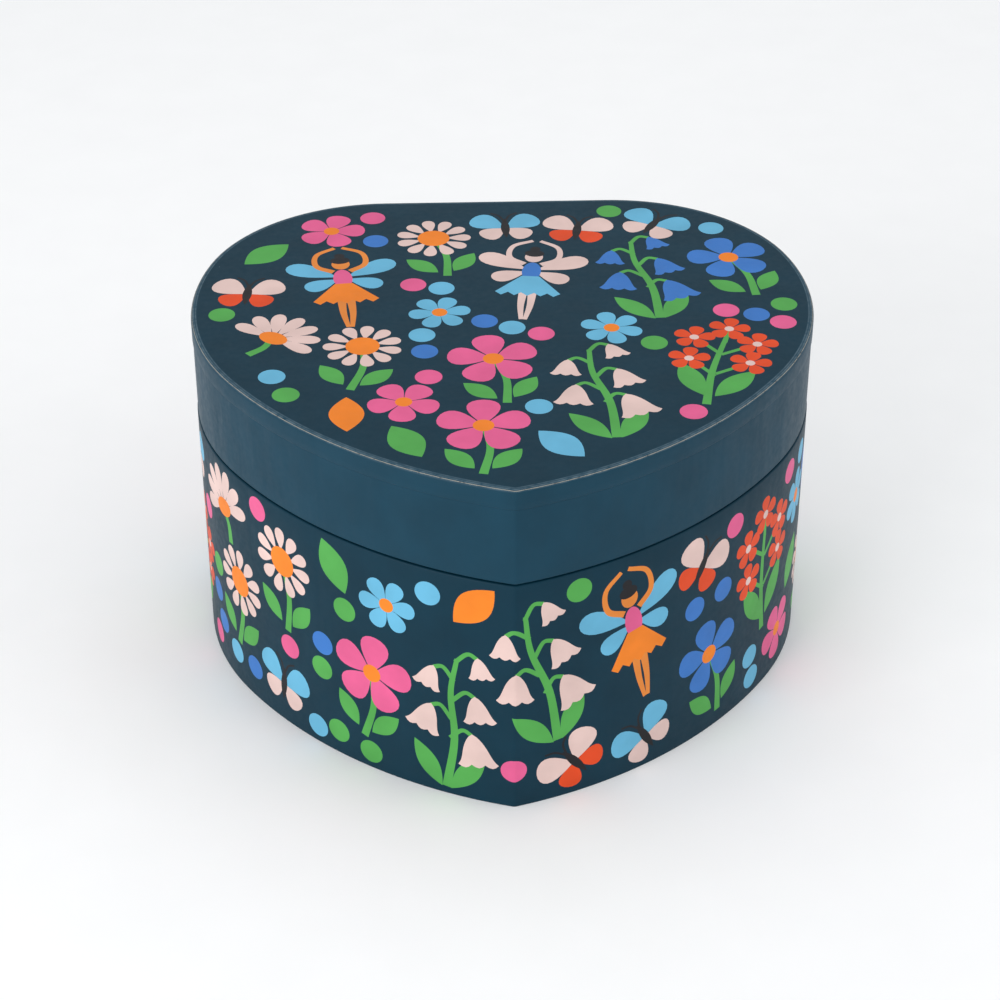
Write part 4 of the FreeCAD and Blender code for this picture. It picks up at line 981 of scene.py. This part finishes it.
def woven_material(name, low, high, thread, sheen, rough):
    """A plain weave of round threads over and under, at the given thread spacing in millimetres,
    with a soft sheen from its nap."""
    material, tree, out, place = new_material(name)
    turns = math.pi / (thread * MM)
    split = add(tree, "SeparateXYZ", {0: place})
    waves = []
    for axis in (0, 2):
        phase = add(tree, "Math", {0: split.outputs[axis], 1: turns}, operation="MULTIPLY")
        waves.append(add(tree, "Math", {0: phase.outputs[0]}, operation="SINE").outputs[0])
    weave = add(tree, "Math", {0: waves[0], 1: waves[1]}, operation="MULTIPLY")
    height = add(tree, "MapRange", {0: weave.outputs[0], 1: -1.0, 2: 1.0})
    slub = add(tree, "TexNoise", {"Vector": place, "Scale": 300.0, "Detail": 3.0})
    mixed = add(tree, "Math", {0: height.outputs[0], 1: slub.outputs[0]}, operation="MULTIPLY")
    tone = add(tree, "Mix", {0: mixed.outputs[0], 6: hex_colour(low), 7: hex_colour(high)},
               data_type="RGBA")
    relief = add(tree, "Bump", {"Strength": 0.5, "Distance": 0.08 * MM, "Height": height.outputs[0]})
    skin = add(tree, "BsdfPrincipled", {
        "Base Color": tone.outputs[2], "Roughness": rough, "Normal": relief.outputs[0],
        "Sheen Weight": sheen, "Sheen Roughness": 0.4,
    })
    tree.links.new(skin.outputs[0], out.inputs["Surface"])
    return material


book_cloth = woven_material("woven_book_cloth", "#132a36", "#2a4a5a", 0.5, 0.2, 0.75)
hinge_cloth = cloth_strip("hinge_cloth")
hinge_cloth.data.materials.append(book_cloth)
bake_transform(hinge_cloth)
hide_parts("case_hinge_strip", "lid_hinge_strip")


# ================================================================ lid lining, mirror and presser
# Inside the lid: pink paper, a heart-shaped mirror in a paper-covered frame, and the cork block
# that presses the stop plunger down when the lid shuts.
mirror_glass, tree, out, place = new_material("silvered_glass")
# silver behind clear glass: nearly perfect, with faint smears about 10 mm long
smear = add(tree, "TexNoise", {"Vector": place, "Scale": 100.0, "Detail": 3.0})
gloss = add(tree, "MapRange", {0: smear.outputs[0], 1: 0.4, 2: 0.7, 3: 0.02, 4: 0.09})
tone = add(tree, "Mix", {0: smear.outputs[0], 6: hex_colour("#dfe6e6"), 7: hex_colour("#eef2f2")},
           data_type="RGBA")
skin = add(tree, "BsdfPrincipled", {
    "Base Color": tone.outputs[2], "Metallic": 1.0, "Roughness": gloss.outputs[0],
})
tree.links.new(skin.outputs[0], out.inputs["Surface"])
dress(mirror_glass, "mirror")

cork, tree, out, place = new_material("pressed_cork")
# cork granules about 1.5 mm across with dark joints between them
granule = add(tree, "TexVoronoi", {"Vector": place, "Scale": 650.0})
joint = add(tree, "MapRange", {0: granule.outputs["Distance"], 1: 0.2, 2: 0.75})
tone = add(tree, "Mix", {0: joint.outputs[0], 6: hex_colour("#c79a68"), 7: hex_colour("#7c5530")},
           data_type="RGBA")
relief = add(tree, "Bump", {"Strength": 0.4, "Distance": 0.15 * MM, "Height": joint.outputs[0]},
             invert=True)
skin = add(tree, "BsdfPrincipled", {
    "Base Color": tone.outputs[2], "Roughness": 0.85, "Normal": relief.outputs[0],
})
tree.links.new(skin.outputs[0], out.inputs["Surface"])
dress(cork, "presser_block")


# ================================================================ stay ribbon
# A 10 mm satin ribbon holds the open lid.  One end is glued inside the neck collar and the other
# inside the rim; with the lid shut it lies folded in small pleats against the collar.
RIBBON_FRONT, RIBBON_BACK = 15.0, 25.0
PLEATS = 27
PLEAT_LOW, PLEAT_HIGH = 62.6, 76.2
collar_side = half_width((RIBBON_FRONT + RIBBON_BACK) / 2, COLLAR_INNER) - 0.9
rim_side = half_width((RIBBON_FRONT + RIBBON_BACK) / 2, RIM_INNER) - 0.35
pleat = np.arange(PLEATS + 1)
zigzag = np.stack([collar_side - 1.2 - 3.0 * (pleat % 2),
                   PLEAT_LOW + (PLEAT_HIGH - PLEAT_LOW) * pleat / PLEATS], 1)
ribbon_path = np.concatenate([
    [(collar_side, 57.0), (collar_side, 61.6)], zigzag,
    [(collar_side - 0.6, 77.6), (collar_side + 0.7, 78.6), (rim_side, 80.4), (rim_side, 86.0)],
])
ribbon_line = smooth(ribbon_path, steps=5)
RIBBON_COLUMNS = 9
across = np.linspace(RIBBON_FRONT, RIBBON_BACK, RIBBON_COLUMNS)
grid = np.stack([
    np.repeat(ribbon_line[:, 0:1], RIBBON_COLUMNS, 1),
    np.repeat(across[None, :], len(ribbon_line), 0),
    np.repeat(ribbon_line[:, 1:2], RIBBON_COLUMNS, 1),
], -1)
quads = grid_faces(*grid.shape[:2], closed=False)
stay = new_piece("stay_ribbon_satin", grid.reshape(-1, 3), quads.tolist())
thicken(stay, 0.12, 0.0)
satin = woven_material("woven_satin", "#b45c72", "#e39bab", 0.3, 0.6, 0.35)
stay.data.materials.append(satin)
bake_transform(stay)
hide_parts("stay_ribbon")


# ================================================================ turntable and dancer
# A moulded turntable on the spindle carries a small painted dancer with a stiff net skirt and
# four film wings.  The face is left plain.
SPINDLE_Y = 33.0
TABLE_TOP = 53.45
turntable_plastic = moulded_material("glossy_moulded_plastic", "#e6e0d8", "#f5f1ea", 0.16, 0.3)
dress(turntable_plastic, "turntable")


LIMB_SIDES = 18
LIMB_RINGS = 25


def limb(path, radii):
    """A round limb: circles of the given radii round a smooth path, closed at both ends."""
    path = np.asarray(path, float)
    knots = np.linspace(0, 1, len(path))
    t = np.linspace(0, 1, LIMB_RINGS)
    line = np.stack([np.interp(t, knots, path[:, n]) for n in range(3)], 1)
    line[1:-1] = (line[:-2] + 2 * line[1:-1] + line[2:]) / 4
    radius = np.interp(t, np.linspace(0, 1, len(radii)), radii)
    radius *= np.sqrt(np.clip(1 - np.abs(2 * t - 1) ** 14, 0, 1))
    way = np.gradient(line, axis=0)
    way /= np.linalg.norm(way, axis=1)[:, None]
    first = np.cross(way, (0.0, 1.0, 0.02))
    first /= np.linalg.norm(first, axis=1)[:, None]
    second = np.cross(way, first)
    a = np.linspace(0, 2 * math.pi, LIMB_SIDES, endpoint=False)
    grid = line[:, None] + radius[:, None, None] * (
        first[:, None] * np.cos(a)[None, :, None] + second[:, None] * np.sin(a)[None, :, None]
    )
    return grid.reshape(-1, 3) + (0, SPINDLE_Y, TABLE_TOP), grid_faces(LIMB_RINGS, LIMB_SIDES)


def ball(x, y, z, wide, tall):
    """An egg shape: a limb along its own height whose radii follow a half circle."""
    t = np.linspace(-1, 1, 13)
    radii = wide / 2 * np.sqrt(1 - t**2)
    return limb([(x, y, z - tall / 2), (x, y, z + tall / 2)], radii)


parts = []
for shape, ink in (
    (limb([(-1, 0, 0), (-1, 0, 5), (-0.9, 0, 11.6)], (0.55, 0.5, 0.8, 0.75, 1.0, 1.1)), "cream"),
    (limb([(1, 0, 0), (1, 0, 5), (0.9, 0, 11.6)], (0.55, 0.5, 0.8, 0.75, 1.0, 1.1)), "cream"),
    (limb([(0, 0, 10.4), (0, 0, 14), (0, 0, 17.8)], (1.8, 1.9, 1.4, 1.7, 2.2, 1.5, 0.8)), "pink"),
    (limb([(0, 0, 16.8), (0, 0, 20.4)], (0.9, 0.7, 0.8)), "cream"),
    (limb([(-1.7, 0, 16.8), (-4.2, -0.3, 18.2), (-6.3, 0, 21.6)], (0.7, 0.62, 0.5, 0.45, 0.35)), "cream"),
    (limb([(1.7, 0, 16.8), (4.2, -0.3, 18.2), (6.3, 0, 21.6)], (0.7, 0.62, 0.5, 0.45, 0.35)), "cream"),
    (ball(0, 0, 21.9, 4.8, 5.6), "cream"),
    (ball(0, 0.5, 22.6, 5.1, 5.0), "black"),
    (ball(0, 0.7, 25.5, 2.6, 2.3), "black"),
):
    parts.append((shape[0], shape[1], [ink] * len(shape[1])))
dancer = paper_piece("dancer", parts)
painted, tree, out, place = new_material("painted_figure")
# brush-painted moulded plastic: the paint pools in patches about 2 mm across
ink = add(tree, "VertexColor", layer_name="ink").outputs["Color"]
pool = add(tree, "TexNoise", {"Vector": place, "Scale": 500.0, "Detail": 2.0})
uneven = add(tree, "MapRange", {0: pool.outputs[0], 1: 0.3, 2: 0.7, 3: 0.88, 4: 1.05})
tone = add(tree, "VectorMath", {0: ink, 3: uneven.outputs[0]}, operation="SCALE")
relief = add(tree, "Bump", {"Strength": 0.3, "Distance": 0.03 * MM, "Height": pool.outputs[0]})
skin = add(tree, "BsdfPrincipled", {
    "Base Color": tone.outputs[0], "Roughness": 0.42, "Normal": relief.outputs[0],
})
tree.links.new(skin.outputs[0], out.inputs["Surface"])
dancer.data.materials.append(painted)
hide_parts("figurine")
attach(dancer, "figure")

# the skirt is a ring of stiff net, gathered at the waist into twelve waves
t = np.linspace(0, 1, 10)[:, None]
a = np.linspace(0, 2 * math.pi, 121)[None, :-1]
radius = 2.1 + 5.1 * t ** 0.9 + 0.28 * t * np.sin(12 * a)
grid = np.stack([
    radius * np.cos(a), SPINDLE_Y + radius * np.sin(a),
    TABLE_TOP + 12.0 - 4.6 * t ** 1.4 + 0.35 * t * np.cos(12 * a),
], -1)
quads = grid_faces(*grid.shape[:2], flipped=True)
dancer_skirt = new_piece("dancer_skirt", grid.reshape(-1, 3), quads.tolist())
thicken(dancer_skirt, 0.15)
net = woven_material("stiff_net", "#c95b86", "#f2a3c0", 0.4, 0.4, 0.6)
dancer_skirt.data.materials.append(net)
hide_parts("figurine_skirt")
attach(dancer_skirt, "figure")

# the wings are four petals of printed film behind the back, bowed slightly backwards
wings = []
for side in (1, -1):
    for length, wide, tilt in ((8.0, 3.4, 35), (5.5, 2.8, -25)):
        outline = moved([(petal(length, wide), "sky")], 0, 0, tilt)[0][0]
        flat_wing, faces, _ = cut_sheet(outline * (side, 1), [], [])
        bow = 0.02 * (flat_wing ** 2).sum(1)
        points = np.stack([flat_wing[:, 0], SPINDLE_Y + 2.9 + np.minimum(bow, 0.5),
                           TABLE_TOP + 15 + flat_wing[:, 1]], 1)
        wings.append((points, faces, ["sky"] * len(faces)))
dancer_wings = paper_piece("dancer_wings", wings)
thicken(dancer_wings, 0.12)
film, tree, out, place = new_material("printed_film")
# thin glossy film with printed veins about 0.8 mm apart
vein = add(tree, "TexVoronoi", {"Vector": place, "Scale": 1200.0}, feature="DISTANCE_TO_EDGE")
line = add(tree, "MapRange", {0: vein.outputs["Distance"], 1: 0.03, 2: 0.09})
tone = add(tree, "Mix", {0: line.outputs[0], 6: hex_colour("#7fa8c4"), 7: hex_colour("#c9dfea")},
           data_type="RGBA")
skin = add(tree, "BsdfPrincipled", {"Base Color": tone.outputs[2], "Roughness": 0.18, "IOR": 1.5})
tree.links.new(skin.outputs[0], out.inputs["Surface"])
dancer_wings.data.materials.append(film)
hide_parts("figurine_wings")
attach(dancer_wings, "figure")
